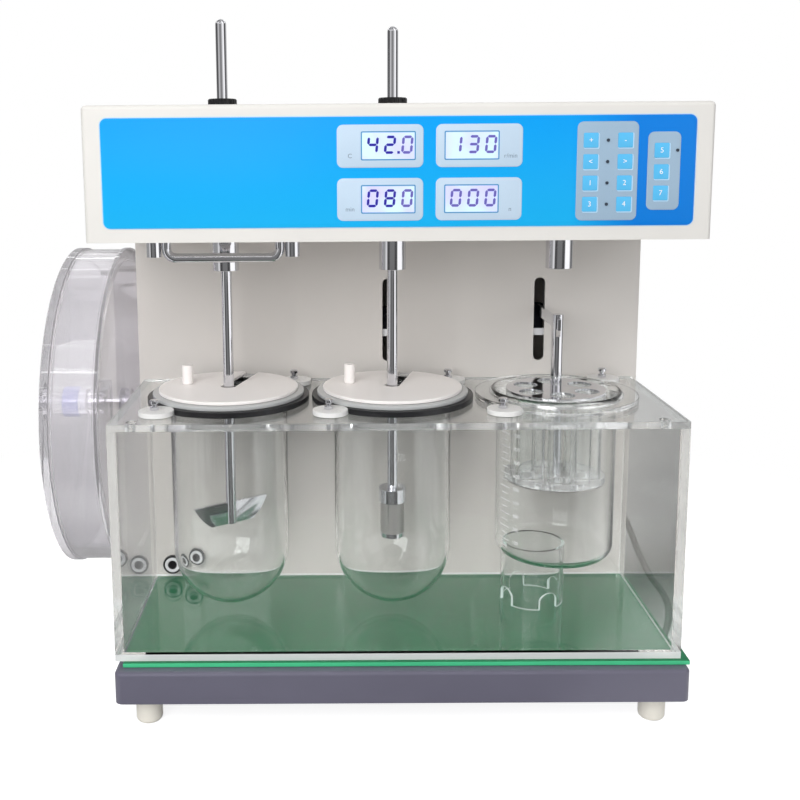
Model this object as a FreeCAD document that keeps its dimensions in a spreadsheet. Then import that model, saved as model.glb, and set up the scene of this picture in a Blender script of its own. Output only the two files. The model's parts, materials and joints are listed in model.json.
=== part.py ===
"""Tablet disintegration tester: the construction model, in millimetres.

The machine stands on four feet at z = 0, with its front towards -Y and +Z up.  The origin is the
middle of the footprint of the machine without its mains cord.  Every size is a named cell of the
sheet "Dims"; every sub-part is an object whose sizes and place follow those cells.
"""
import FreeCAD, Part

import math
import os

import Sketcher
from FreeCAD import Placement, Rotation, Vector

# (alias, millimetres or degrees, what it measures)
DIMENSIONS = [
    ("machine_x", 38.75, "X of the middle spindle"),
    ("spindle_y", -76.5, "Y of the row of spindles"),
    ("spindle_pitch", 150, "distance between spindle axes"),
    ("running_gap", 0.06, "radial clearance of a shaft in its bore"),
    ("seat_gap", 0.3, "clearance between a loose piece and its seat"),
    ("foot_radius", 11.5, "foot"),
    ("foot_height", 27, "foot"),
    ("foot_inset", 25, "foot axis from the edges of the base"),
    ("foot_round", 4, "rounding under the foot"),
    ("base_width", 490, "base tray"),
    ("base_depth", 320, "base tray"),
    ("base_height", 28, "base tray"),
    ("base_front", 106, "front of the base ahead of the spindles"),
    ("base_shift", 3, "middle of the base right of the middle spindle"),
    ("base_corner", 7, "rounding of the base's upright edges"),
    ("base_edge", 3, "rounding of the base's top edges"),
    ("base_sheet", 2.5, "sheet thickness of the base tray"),
    ("base_flange", 46, "width of the flange turned in under the base"),
    ("mat_thick", 4, "bench mat"),
    ("mat_shift", 7, "middle of the mat right of the middle spindle"),
    ("mat_lip", 4, "mat ahead of the tank"),
    ("tank_width", 486, "tank"),
    ("tank_depth", 175, "tank"),
    ("tank_height", 209, "tank with its top plate"),
    ("tank_front", 92, "front of the tank ahead of the spindles"),
    ("tank_wall", 7, "tank wall"),
    ("tank_floor", 6, "tank floor"),
    ("tank_plate", 6, "tank top plate"),
    ("plate_hole_radius", 4.5, "filling and thermometer holes in the top plate"),
    ("plate_hole_inset_x", 19, "those holes from the tank's sides"),
    ("plate_hole_inset_y", 9, "those holes from the tank's front"),
    ("port_radius", 9.5, "circulation port flange"),
    ("port_flange", 3, "circulation port flange"),
    ("port_wall", 2, "circulation port tube wall"),
    ("port_bore", 4, "circulation port bore radius"),
    ("port_x", 24, "first port from the left side of the tank, or of the column where that is nearer"),
    ("port_z", 19, "first port above the tank's underside"),
    ("port_step_x", 21, "second port from the first"),
    ("port_step_z", 7, "second port above the first"),
    ("vessel_radius", 53.5, "glass vessel, outside"),
    ("vessel_wall", 2.5, "glass vessel wall"),
    ("vessel_length", 200.4, "glass vessel from flange top to the bottom"),
    ("flange_radius", 69, "glass vessel flange"),
    ("flange_thick", 3.6, "glass vessel flange"),
    ("hole_gap", 1.5, "vessel hole in the top plate around the vessel"),
    ("gasket_radius", 73.7, "black gasket, outside"),
    ("gasket_thick", 5, "black gasket"),
    ("lid_radius", 63.5, "white lid"),
    ("lid_thick", 3, "white lid"),
    ("lid_hole", 7, "shaft hole radius of the lid"),
    ("lid_slot_width", 13, "slot from the lid's shaft hole to its rim"),
    ("lid_slot_angle", 75, "direction of the slot from +X"),
    ("plug_radius", 5, "sampling plug above the lid"),
    ("plug_height", 17.5, "sampling plug above the lid"),
    ("plug_x", -39, "sampling plug from the lid's axis"),
    ("plug_y", 10, "sampling plug from the lid's axis"),
    ("plug_neck", 0.8, "step from the plug to its neck"),
    ("cam_radius", 15.3, "clamp cam"),
    ("cam_thick", 4.4, "clamp cam disc"),
    ("cam_notch", 0.7, "gap round a turned cam in the notch of its gasket"),
    ("cam_throw", 1.5, "cam disc off its screw"),
    ("cam_front_x", -58, "front cams from the spindle axis"),
    ("cam_front_y", -60, "front cams from the spindle axis"),
    ("cam_rear_x", 57.5, "rear cams from the spindle axis"),
    ("cam_rear_y", 59.5, "rear cams from the spindle axis"),
    ("screw_radius", 2, "thumbscrew shank"),
    ("screw_head", 3.9, "thumbscrew head radius"),
    ("screw_tall", 8.8, "thumbscrew head height"),
    ("beaker_radius", 54, "beaker, outside"),
    ("beaker_wall", 2, "beaker wall"),
    ("beaker_height", 154.5, "beaker"),
    ("beaker_corner", 12, "rounding of the beaker's bottom"),
    ("beaker_lip", 4.5, "flare of the beaker's rim"),
    ("collar_thick", 5, "clear collar round the beaker"),
    ("stand_radius", 30, "beaker stand"),
    ("stand_wall", 3, "beaker stand"),
    ("stand_height", 56.5, "beaker stand"),
    ("stand_x", -14.6, "beaker stand from the right spindle axis"),
    ("stand_y", 22, "beaker stand from the right spindle axis"),
    ("stand_arch_radius", 9, "arches at the foot of the stand"),
    ("stand_arch_height", 9, "straight sides of those arches"),
    ("stand_turn", 23, "direction of the first arch from +X"),
    ("column_width", 496, "column"),
    ("column_depth", 130, "column"),
    ("column_height", 363.5, "column from the base to the head"),
    ("column_gap", 0.6, "column behind the tank"),
    ("column_sheet", 2, "column sheet"),
    ("slot_width", 10.7, "lift slots"),
    ("slot_height", 83, "lift slots"),
    ("slot_z", 230, "foot of the lift slots above the base"),
    ("louvre_width", 120, "louvres in the rear panel"),
    ("louvre_height", 5, "louvres in the rear panel"),
    ("louvre_pitch", 13, "louvres in the rear panel"),
    ("louvre_rows", 7, "louvres in the rear panel"),
    ("louvre_z", 97, "lowest louvre above the base"),
    ("head_width", 513, "head"),
    ("head_height", 111.5, "head"),
    ("head_front", 80, "front of the head ahead of the spindles"),
    ("head_corner", 4, "rounding of the head's edges"),
    ("head_sheet", 2, "head sheet"),
    ("duct_side", 20, "cable duct into the head from the column's sides and back"),
    ("duct_front", 10, "cable duct into the head behind the column's front sheet"),
    ("panel_width", 481.5, "control panel"),
    ("panel_height", 89, "control panel"),
    ("panel_drop", 10.7, "control panel below the head's top"),
    ("panel_thick", 0.8, "control panel"),
    ("panel_corner", 5.5, "control panel corners"),
    ("surround_thick", 0.5, "raised surrounds on the panel"),
    ("surround_width", 70, "display surround"),
    ("surround_height", 34.5, "display surround"),
    ("surround_x", -49.5, "left edge of the first surround from the middle spindle"),
    ("surround_step_x", 80.2, "second column of displays"),
    ("surround_drop", 17, "first surround below the head's top"),
    ("surround_step_z", 43, "second row of displays"),
    ("window_width", 44.5, "display window"),
    ("window_height", 23.3, "display window"),
    ("window_inset_left", 19.4, "left windows from their surround's left edge"),
    ("window_inset_right", 6.8, "right windows from their surround's left edge"),
    ("window_drop", 5.4, "windows below their surround's top"),
    ("glass_thick", 0.6, "display glass"),
    ("keypad_x", 144.6, "left edge of the large key field"),
    ("keypad_width", 49.5, "large key field"),
    ("keypad_drop", 15.8, "large key field below the head's top"),
    ("keypad_height", 79.6, "large key field"),
    ("sidepad_x", 201.8, "left edge of the small key field"),
    ("sidepad_width", 26.5, "small key field"),
    ("sidepad_drop", 24.3, "small key field below the head's top"),
    ("sidepad_height", 62.9, "small key field"),
    ("key_size", 12, "key"),
    ("key_thick", 0.9, "key"),
    ("key_pitch", 17.15, "key rows"),
    ("key_x", 155.7, "first column of keys"),
    ("key_step_x", 27.8, "second column of keys"),
    ("key_drop", 30.8, "first row of keys below the head's top"),
    ("side_key_x", 213.1, "keys of the small field"),
    ("side_key_drop", 39.2, "first key of the small field below the head's top"),
    ("lamp_x", 169.4, "status lamps of the large field"),
    ("side_lamp_x", 225.6, "status lamp of the small field"),
    ("lamp_radius", 1.3, "status lamp"),
    ("lamp_thick", 0.8, "status lamp"),
    ("sleeve_radius", 12, "spindle sleeve"),
    ("sleeve_drop", 31.8, "spindle sleeve below the head"),
    ("shaft_radius", 4.8, "stirrer shaft"),
    ("nose_radius", 9.8, "threaded nose of the spindle"),
    ("nose_height", 5.5, "nose above the head"),
    ("bearing_radius", 20, "bearing housing"),
    ("bearing_height", 26, "bearing housing"),
    ("pulley_radius", 22, "belt pulley"),
    ("pulley_width", 14, "belt pulley"),
    ("pulley_z", 46, "pulleys above the head's underside"),
    ("pulley_rim", 1.6, "pulley flange above the belt seat"),
    ("belt_width", 9.4, "drive belt"),
    ("belt_thick", 1.3, "drive belt"),
    ("belt_gap", 0.2, "drive belt off the pulleys"),
    ("motor_radius", 29, "stirrer motor"),
    ("motor_height", 40, "stirrer motor"),
    ("motor_shaft", 4, "stirrer motor shaft"),
    ("knob_radius", 12.7, "lock knob"),
    ("knob_height", 8, "lock knob"),
    ("knob_cap", 1.8, "lock knob's top"),
    ("knob_flute", 0.9, "radius of the lock knob's flutes"),
    ("knob_flute_count", 20, "flutes round a lock knob"),
    ("paddle_top", 606.7, "top of the paddle shaft above the bench"),
    ("paddle_foot", 150, "foot of the paddle above the bench"),
    ("blade_chord", 74.5, "paddle blade at its top"),
    ("blade_base", 42, "paddle blade at its bottom"),
    ("blade_height", 20, "paddle blade"),
    ("blade_thick", 4, "paddle blade"),
    ("blade_side_radius", 41.5, "curved ends of the blade"),
    ("blade_turn", 33, "blade from +X"),
    ("basket_top", 599.5, "top of the basket shaft above the bench"),
    ("basket_foot", 137.2, "underside of the basket above the bench"),
    ("basket_radius", 11, "mesh basket"),
    ("basket_length", 46, "mesh basket with its cap"),
    ("basket_mesh", 0.6, "mesh thickness"),
    ("basket_band", 3, "bottom and top bands of the mesh basket"),
    ("cap_radius", 12.7, "basket cap"),
    ("cap_skirt", 13, "basket cap's height"),
    ("cap_disc", 4, "basket cap's top disc"),
    ("cap_skirt_wall", 1.1, "basket cap's skirt"),
    ("handle_span", 96, "handle bar, leg to leg"),
    ("handle_radius", 4, "handle bar"),
    ("handle_bend", 8, "handle bar's bends"),
    ("handle_drop", 15, "handle bar's axis below the head"),
    ("handle_x", 4, "handle's middle right of the left spindle"),
    ("handle_y", -56, "handle from the spindle plane"),
    ("post_radius", 6.2, "handle posts"),
    ("post_drop", 14, "handle posts below the head"),
    ("post_step", 10.5, "posts outside the handle's legs"),
    ("arm_thick", 3, "hanging arm"),
    ("arm_height", 10.5, "hanging arm"),
    ("arm_z", 330.5, "underside of the hanging arm above the bench"),
    ("arm_tip", 9, "arm ahead of the right spindle axis"),
    ("hanger_radius", 5.2, "hanger rod"),
    ("hanger_over", 3.5, "hanger above the arm"),
    ("hanger_under", 6, "hanger's eye below the arm"),
    ("carriage_gap", 3, "carriage behind the column's front sheet"),
    ("carriage_thick", 10, "carriage beam"),
    ("carriage_bar", 7, "height of the carriage's cross bar"),
    ("carriage_z", 309.5, "underside of the cross bar above the bench"),
    ("carriage_over", 14, "cross bar beyond the slots"),
    ("lug_width", 9, "lugs that stand on the cross bar"),
    ("bolt_radius", 3.4, "round bolt in the middle slot"),
    ("bolt_z", 329, "that bolt above the bench"),
    ("guide_radius", 5, "guide rods"),
    ("guide_spread", 60, "distance between the guide rods"),
    ("guide_z", 252, "foot of the guide rods above the bench"),
    ("guide_length", 150, "guide rods"),
    ("guide_back", 26, "guide rods behind the column's front sheet"),
    ("guide_block", 26, "sliding blocks on the guide rods"),
    ("guide_shelf", 5, "shelves that hold the guide rods"),
    ("rack_top", 276, "top of the basket rack above the bench"),
    ("rack_radius", 45, "rack plates"),
    ("rack_plate", 6, "rack plates"),
    ("rack_cover", 2, "steel disc on the rack"),
    ("tube_length", 77.5, "glass tubes"),
    ("tube_radius", 12.8, "glass tubes, outside"),
    ("tube_wall", 1.9, "glass tube wall"),
    ("tube_circle", 29, "circle of the glass tubes"),
    ("tube_count", 6, "glass tubes"),
    ("tube_turn", 30, "first tube from +X"),
    ("cover_hole", 11, "holes in the steel disc"),
    ("sieve_thick", 1.2, "sieve disc"),
    ("drum_y", 102, "drum axis behind the spindles"),
    ("drum_z", 241, "drum axis above the bench"),
    ("drum_radius", 157, "drum discs"),
    ("drum_rim", 1.5, "drum discs beyond the ring"),
    ("drum_wall", 10, "drum ring's wall"),
    ("drum_depth", 38, "drum's inside depth"),
    ("drum_cover", 8, "cover disc"),
    ("drum_back", 5, "back disc"),
    ("drum_gap", 11.5, "drum from the column, or from the tank where that is wider"),
    ("drum_shaft", 6, "drum shaft radius"),
    ("drum_hub", 13, "hub radius inside the drum"),
    ("hub_wall", 10, "hub on the drum's back disc"),
    ("hub_length", 12, "hub behind the cover disc"),
    ("scoop_radius", 80.5, "inside radius of the scoop"),
    ("scoop_wall", 4, "scoop"),
    ("knob_band", 15.5, "drum knob radius"),
    ("knob_length", 23.2, "drum knob"),
    ("knob_grip", 16.5, "blue band of the drum knob"),
    ("knob_step", 2, "step from the band to the knob's neck"),
    ("knob_end", 5, "end wall of the drum knob"),
    ("knob_play", 1, "shaft's end from the bottom of the knob's bore"),
    ("bearing_flange", 13.5, "drum bearing radius"),
    ("bearing_reach", 6, "drum bearing outside the column"),
    ("gearmotor_size", 46, "drum gearmotor"),
    ("gearmotor_length", 70, "drum gearmotor"),
    ("gearmotor_bore", 45, "drum gearmotor's hollow shaft"),
    ("shaft_in_gear", 40, "drum shaft inside its gearmotor"),
    ("lift_motor_width", 80, "lift gearmotor"),
    ("lift_motor_depth", 60, "lift gearmotor"),
    ("lift_motor_height", 70, "lift gearmotor"),
    ("crank_radius", 30, "crank disc of the lift"),
    ("crank_thick", 6, "crank disc of the lift"),
    ("pump_radius", 24, "circulation pump"),
    ("pump_height", 70, "circulation pump"),
    ("pump_back", 26, "pump's front behind the column's front sheet"),
    ("hose_radius", 6, "circulation hoses"),
    ("switch_width", 22, "rear rocker switch"),
    ("switch_height", 15, "rear rocker switch"),
    ("switch_round", 7.2, "radius of the rocker about its pivot"),
    ("switch_pivot", 3, "rocker's pivot behind the panel's face"),
    ("switch_dip", 1.6, "pressed half of the rocker above the panel's face"),
    ("switch_z", 62, "rocker above the base"),
    ("switch_x", 150, "rocker right of the middle spindle"),
    ("gland_x", 205, "cord gland right of the middle spindle"),
    ("gland_z", 46, "cord gland above the base"),
    ("gland_radius", 8, "cord gland"),
    ("gland_flange", 3, "cord gland's flange"),
    ("gland_length", 30, "cord gland behind the panel"),
    ("cord_radius", 3.5, "mains cord"),
    ("coil_x", 95, "cord coil"),
    ("coil_y", 219, "cord coil"),
    ("coil_outer", 45, "cord coil, outside radius"),
    ("coil_inner", 29, "cord coil, inside radius"),
    ("coil_height", 15, "cord coil"),
    ("coil_round", 5, "rounding of the coil's edges"),
    ("bench_gap", 0.1, "cord above the bench"),
    ("plug_relief", 22, "plug's strain relief"),
    ("plug_body", 34, "plug's body, length"),
    ("plug_half", 12, "plug's body, half its width"),
    ("plug_waist", 6, "plug's body at the strain relief, half its width"),
    ("plug_tall", 21, "plug's body, height"),
    ("blade_length", 17, "plug's blades"),
    ("blade_wide", 6.3, "plug's blades"),
    ("blade_thin", 1.5, "plug's blades"),
    ("blade_apart", 6.35, "plug's blades from its middle"),
    ("blade_up", 3, "plug's blades above its middle"),
    ("earth_radius", 2.4, "plug's earth pin"),
    ("earth_down", 6.5, "plug's earth pin below its middle"),
]

# the mains cord: from the gland round the column's right side to the bench, under the base and to its coil
CORD_POINTS = [
    (243.75, 167.1, 101), (243.75, 195.7, 101), (260.5, 218.8, 96), (287.8, 227.6, 88), (315, 218.8, 80),
    (331.5, 195.7, 70), (335, 166, 57), (342.5, 148.5, 30), (350, 122, 8), (355, 90, 3.6), (350, 52, 3.6),
    (334, 8, 3.6), (310, -40, 3.6), (276, -84, 3.6), (226, -100, 3.6), (184, -76, 3.6), (166, -28, 3.6),
    (160, 30, 3.6), (166, 90, 3.6), (180, 150, 3.6), (172, 202, 3.6), (156, 234, 3.6), (132.1, 251.2, 3.6),
    (105.5, 258.3, 3.6),
]
# the free end, from the coil to the plug
LEAD_POINTS = [(81.1, 257.2, 3.6), (45, 244, 3.6), (10, 239, 11.6), (-16, 239, 11.6)]
CORD_ARC_SHARE = 0.45

doc = FreeCAD.newDocument("disintegration_tester")
sheet = doc.addObject("Spreadsheet::Sheet", "Dims")


class Size:
    """A length or an angle: its present value, and the sheet formula that keeps it."""

    def __init__(self, value, text):
        self.value = float(value)
        self.text = text

    def __add__(self, other):
        other = size(other)
        return Size(self.value + other.value, f"({self.text} + {other.text})")

    def __sub__(self, other):
        other = size(other)
        return Size(self.value - other.value, f"({self.text} - {other.text})")

    def __mul__(self, other):
        other = size(other)
        return Size(self.value * other.value, f"({self.text} * {other.text})")

    def __truediv__(self, other):
        other = size(other)
        return Size(self.value / other.value, f"({self.text} / {other.text})")

    def __radd__(self, other):
        return size(other) + self

    def __rsub__(self, other):
        return size(other) - self

    def __rmul__(self, other):
        return size(other) * self

    def __rtruediv__(self, other):
        return size(other) / self

    def __neg__(self):
        return size(0) - self


def size(number):
    """Take a plain number or a Size as a Size."""
    return number if isinstance(number, Size) else Size(number, repr(float(number)))


def cos(angle):
    angle = size(angle)
    return Size(math.cos(math.radians(angle.value)), f"cos({angle.text})")


def sin(angle):
    angle = size(angle)
    return Size(math.sin(math.radians(angle.value)), f"sin({angle.text})")


def least(first, second):
    """The smaller of two lengths."""
    first, second = size(first), size(second)
    return Size(min(first.value, second.value), f"min({first.text}; {second.text})")


def most(first, second):
    """The larger of two lengths."""
    return -least(-first, -second)


class Dimensions:
    """The cells of the sheet, by name."""


D = Dimensions()
for row, (alias, number, note) in enumerate(DIMENSIONS, 1):
    sheet.set(f"A{row}", note)
    sheet.set(f"B{row}", str(number))
    sheet.setAlias(f"B{row}", alias)
    setattr(D, alias, Size(number, f"Dims.{alias}"))
doc.recompute()

TURNS = {"x": Rotation(Vector(0, 1, 0), 90), "y": Rotation(Vector(1, 0, 0), -90), "z": Rotation()}
NODES = []


def bind(thing, path, length):
    """Set a property and tie it to the sheet."""
    thing.setExpression(path, size(length).text)


def place(thing, x, y, z, along="z", turn=None):
    """Put a thing's own origin at a point, its own Z along an axis, or turned about Z."""
    spin = TURNS[along] if turn is None else Rotation(Vector(0, 0, 1), size(turn).value)
    thing.Placement = Placement(Vector(size(x).value, size(y).value, size(z).value), spin)
    for letter, length in zip("xyz", (x, y, z)):
        bind(thing, f"Placement.Base.{letter}", length)
    if turn is not None:
        bind(thing, "Placement.Rotation.Angle", turn)
    return thing


def block(name, x_range, y_range, z_range):
    """A box between two corners."""
    box = doc.addObject("Part::Box", name)
    for prop, (low, high) in zip(("Length", "Width", "Height"), (x_range, y_range, z_range)):
        bind(box, prop, high - low)
    return place(box, x_range[0], y_range[0], z_range[0])


def rod(name, radius, start, length, along="z"):
    """A cylinder from a point along an axis."""
    cylinder = doc.addObject("Part::Cylinder", name)
    bind(cylinder, "Radius", radius)
    bind(cylinder, "Height", length)
    return place(cylinder, *start, along=along)


def joined(name, *parts):
    """Weld parts into one solid."""
    fuse = doc.addObject("Part::MultiFuse", name)
    fuse.Shapes = list(parts)
    return fuse


def cut(name, stock, *tools):
    """Take tools out of the stock."""
    result = doc.addObject("Part::Cut", name)
    result.Base = stock
    result.Tool = tools[0] if len(tools) == 1 else joined(f"{name}_tools", *tools)
    return result


def group(name, *parts):
    """Separate solids that make one node."""
    compound = doc.addObject("Part::Compound", name)
    compound.Links = list(parts)
    return compound


def pipe(name, outer, inner, start, length, along="z"):
    """A tube, cut a little past both ends."""
    bore_start = list(start)
    index = "xyz".index(along)
    bore_start[index] = start[index] - 1
    return cut(name, rod(f"{name}_outer", outer, start, length, along),
               rod(f"{name}_bore", inner, bore_start, length + 2, along))


def stadium(name, radius, first, last, depth):
    """A slot shape with round ends: first and last are the centres of its ends (x, y or x, z)."""
    (x0, y0, z0), (x1, y1, z1) = first, last
    if x0 is x1:
        middle = block(f"{name}_middle", (x0 - radius, x0 + radius), (y0, y0 + depth), (z0, z1))
        along = "y"
    else:
        middle = block(f"{name}_middle", (x0, x1), (y0 - radius, y0 + radius), (z0, z0 + depth))
        along = "z"
    return joined(name, middle, rod(f"{name}_first", radius, first, depth, along),
                  rod(f"{name}_last", radius, last, depth, along))


def draw(sketch, corners, arcs=None):
    """Close an outline through the corners, each held by its distances from the sketch's axes.

    arcs maps an edge's number to (radius, side): side is 1 where the arc's centre lies left of the
    way from the edge's first corner to its second, and -1 where it lies right of it.
    """
    arcs = arcs or {}
    corners = [(size(x), size(y)) for x, y in corners]
    points = [Vector(x.value, y.value, 0) for x, y in corners]
    edges = []
    for index, start in enumerate(points):
        end = points[(index + 1) % len(points)]
        if index in arcs:
            radius, side = size(arcs[index][0]).value, arcs[index][1]
            chord = end - start
            across = Vector(-chord.y, chord.x, 0).normalize()
            rise = math.sqrt(max(radius ** 2 - (chord.Length / 2) ** 2, 0))
            centre = (start + end) * 0.5 + across * (rise * side)
            first, last = (start, end) if side > 0 else (end, start)
            angles = [math.atan2(point.y - centre.y, point.x - centre.x) for point in (first, last)]
            shape = Part.ArcOfCircle(Part.Circle(centre, Vector(0, 0, 1), radius), *angles)
            ends = (1, 2) if side > 0 else (2, 1)
        else:
            shape = Part.LineSegment(start, end)
            ends = (1, 2)
        edges.append((sketch.addGeometry(shape, False), ends))
    for index, (edge, ends) in enumerate(edges):
        following, following_ends = edges[(index + 1) % len(edges)]
        sketch.addConstraint(Sketcher.Constraint("Coincident", edge, ends[1], following, following_ends[0]))
    for index, ((edge, ends), corner) in enumerate(zip(edges, corners)):
        for kind, axis, length in (("DistanceX", -2, corner[0]), ("DistanceY", -1, corner[1])):
            if abs(length.value) < 1e-9:
                sketch.addConstraint(Sketcher.Constraint("PointOnObject", edge, ends[0], axis))
                continue
            held = sketch.addConstraint(Sketcher.Constraint(kind, -1, 1, edge, ends[0], length.value))
            name = f"{kind[-1].lower()}_{index}"
            sketch.renameConstraint(held, name)
            bind(sketch, f"Constraints.{name}", length)
    for index, (radius, side) in arcs.items():
        held = sketch.addConstraint(Sketcher.Constraint("Radius", edges[index][0], size(radius).value))
        sketch.renameConstraint(held, f"radius_{index}")
        bind(sketch, f"Constraints.radius_{index}", radius)


def sketch_on(body, role, name="outline"):
    """A new sketch on one of the body's own origin planes."""
    sketch = body.newObject("Sketcher::SketchObject", f"{body.Name}_{name}")
    plane = [feature for feature in body.Origin.OriginFeatures if feature.Role == role][0]
    sketch.AttachmentSupport = [(plane, "")]
    sketch.MapMode = "FlatFace"
    return sketch


def turned(name, profile, at, arcs=None, along="z"):
    """A lathe-turned piece: a half profile of (radius, height) corners, spun about its own axis."""
    body = doc.addObject("PartDesign::Body", name)
    sketch = sketch_on(body, "XZ_Plane")
    draw(sketch, profile, arcs)
    spin = body.newObject("PartDesign::Revolution", f"{name}_spin")
    spin.Profile = sketch
    spin.ReferenceAxis = (sketch, ["V_Axis"])
    spin.Angle = 360
    return place(body, *at, along=along)


def plate(name, outline, thick, at, arcs=None, role="XY_Plane", turn=None):
    """A flat piece: an outline on one of the origin planes, padded to its thickness."""
    body = doc.addObject("PartDesign::Body", name)
    sketch = sketch_on(body, role)
    draw(sketch, outline, arcs)
    pad = body.newObject("PartDesign::Pad", f"{name}_pad")
    pad.Profile = sketch
    bind(pad, "Length", thick)
    return place(body, *at, turn=turn)


def rounded_slab(name, x_range, y_range, z_range, corner, edge):
    """A slab with rounded upright edges and a rounded top rim."""
    body = plate(name, [(0, 0), (x_range[1] - x_range[0], 0), (x_range[1] - x_range[0], y_range[1] - y_range[0]),
                        (0, y_range[1] - y_range[0])], z_range[1] - z_range[0],
                 (x_range[0], y_range[0], z_range[0]))
    doc.recompute()
    top = size(z_range[1]).value - size(z_range[0]).value
    pad = body.Tip
    upright = [f"Edge{index}" for index, line in enumerate(pad.Shape.Edges, 1)
               if abs(line.Vertexes[0].Z - line.Vertexes[-1].Z) > top / 2]
    corners = body.newObject("PartDesign::Fillet", f"{name}_corners")
    corners.Base = (pad, upright)
    bind(corners, "Radius", corner)
    doc.recompute()
    rim = [f"Edge{index}" for index, line in enumerate(corners.Shape.Edges, 1)
           if all(abs(point.Z - top) < 1e-6 for point in line.Vertexes)]
    edges = body.newObject("PartDesign::Fillet", f"{name}_edges")
    edges.Base = (corners, rim)
    bind(edges, "Radius", edge)
    return body


def node(thing, label):
    """Name a finished sub-part; its file takes the label."""
    thing.Label = label
    NODES.append(thing)
    return thing


# ---------------------------------------------------------------- levels and lines that pieces share
spindle_x = {"left": D.machine_x - D.spindle_pitch, "middle": D.machine_x, "right": D.machine_x + D.spindle_pitch}
spindle_y = D.spindle_y
base_x = (D.machine_x + D.base_shift - D.base_width / 2, D.machine_x + D.base_shift + D.base_width / 2)
base_y = (spindle_y - D.base_front, spindle_y - D.base_front + D.base_depth)
base_top = D.foot_height + D.base_height
tank_x = (D.machine_x - D.tank_width / 2, D.machine_x + D.tank_width / 2)
tank_y = (spindle_y - D.tank_front, spindle_y - D.tank_front + D.tank_depth)
tank_z = base_top + D.mat_thick
tank_top = tank_z + D.tank_height
plate_z = tank_top - D.tank_plate
column_x = (D.machine_x - D.column_width / 2, D.machine_x + D.column_width / 2)
column_front = tank_y[1] + D.column_gap
column_back = column_front + D.column_depth
column_inner = column_front + D.column_sheet
head_x = (D.machine_x - D.head_width / 2, D.machine_x + D.head_width / 2)
head_z = base_top + D.column_height
head_top = head_z + D.head_height
head_y = (spindle_y - D.head_front, column_back)
flange_z = tank_top + D.gasket_thick
flange_top = flange_z + D.flange_thick
lid_z = flange_top + D.seat_gap
lid_top = lid_z + D.lid_thick
cam_z = tank_top + D.seat_gap
cam_top = cam_z + D.cam_thick
CAM_PLACES = (("front", D.cam_front_x, D.cam_front_y), ("rear", D.cam_rear_x, D.cam_rear_y))


# ---------------------------------------------------------------- base and feet
def make_base():
    shell = rounded_slab("base_slab", base_x, base_y, (D.foot_height, base_top), D.base_corner, D.base_edge)
    inner_x = (base_x[0] + D.base_sheet, base_x[1] - D.base_sheet)
    inner_y = (base_y[0] + D.base_sheet, base_y[1] - D.base_sheet)
    hollow = block("base_hollow", inner_x, inner_y, (D.foot_height + D.base_sheet, base_top - D.base_sheet))
    mouth = block("base_mouth", (base_x[0] + D.base_flange, base_x[1] - D.base_flange),
                  (base_y[0] + D.base_flange, base_y[1] - D.base_flange),
                  (D.foot_height - 1, D.foot_height + D.base_sheet + 1))
    node(cut("base_tray_cut", shell, hollow, mouth), "base_tray")

    profile = [(0, 0), (D.foot_radius - D.foot_round, 0), (D.foot_radius, D.foot_round),
               (D.foot_radius, D.foot_height), (0, D.foot_height)]
    feet = []
    for x in (base_x[0] + D.foot_inset, base_x[1] - D.foot_inset):
        for y in (base_y[0] + D.foot_inset, base_y[1] - D.foot_inset):
            feet.append(turned(f"foot_{len(feet)}", profile, (x, y, 0), {1: (D.foot_round, 1)}))
    node(group("feet", *feet), "base_feet")

    mat_x = (D.machine_x + D.mat_shift - D.tank_width / 2, D.machine_x + D.mat_shift + D.tank_width / 2)
    node(block("mat", mat_x, (tank_y[0] - D.mat_lip, tank_y[1]), (base_top, tank_z)), "bench_mat")


# ---------------------------------------------------------------- water bath
def make_tank():
    port_x, port_z = most(tank_x[0], column_x[0]) + D.port_x, tank_z + D.port_z
    ports = [(port_x, port_z), (port_x + D.port_step_x, port_z + D.port_step_z)]
    outer = block("tank_outer", tank_x, tank_y, (tank_z, plate_z))
    inner = block("tank_inner", (tank_x[0] + D.tank_wall, tank_x[1] - D.tank_wall),
                  (tank_y[0] + D.tank_wall, tank_y[1] - D.tank_wall), (tank_z + D.tank_floor, plate_z + 1))
    neck = D.port_bore + D.port_wall
    holes = [rod(f"tank_port_hole_{index}", neck, (x, tank_y[1] - D.tank_wall - 1, z), D.tank_wall + 2, "y")
             for index, (x, z) in enumerate(ports)]
    node(cut("tank_cut", outer, inner, *holes), "water_tank")

    sheet_plate = block("plate_stock", tank_x, tank_y, (plate_z, tank_top))
    tools = []
    for side, x in spindle_x.items():
        radius = (D.beaker_radius + D.beaker_lip if side == "right" else D.vessel_radius) + D.hole_gap
        tools.append(rod(f"plate_vessel_{side}", radius, (x, spindle_y, plate_z - 1), D.tank_plate + 2))
        for place_name, dx, dy in CAM_PLACES:
            tools.append(rod(f"plate_screw_{side}_{place_name}", D.screw_radius,
                             (x + dx, spindle_y + dy, plate_z - 1), D.tank_plate + 2))
    for index, x in enumerate((tank_x[0] + D.plate_hole_inset_x, tank_x[1] - D.plate_hole_inset_x)):
        tools.append(rod(f"plate_corner_{index}", D.plate_hole_radius,
                         (x, tank_y[0] + D.plate_hole_inset_y, plate_z - 1), D.tank_plate + 2))
    node(cut("plate_cut", sheet_plate, *tools), "tank_top_plate")

    # each port: a flange inside the tank, a neck through both walls and a hose spigot to the pump
    flange = D.port_flange
    pump_front = column_inner + D.pump_back
    start = tank_y[1] - D.tank_wall - flange
    reach = pump_front - start
    profile = [(D.port_bore, 0), (D.port_radius, 0), (D.port_radius, flange), (neck, flange),
               (neck, reach), (D.port_bore, reach)]
    fittings = [turned(f"port_{index}", profile, (x, start, z), along="y") for index, (x, z) in enumerate(ports)]
    node(group("ports", *fittings), "tank_ports")
    return ports


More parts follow.
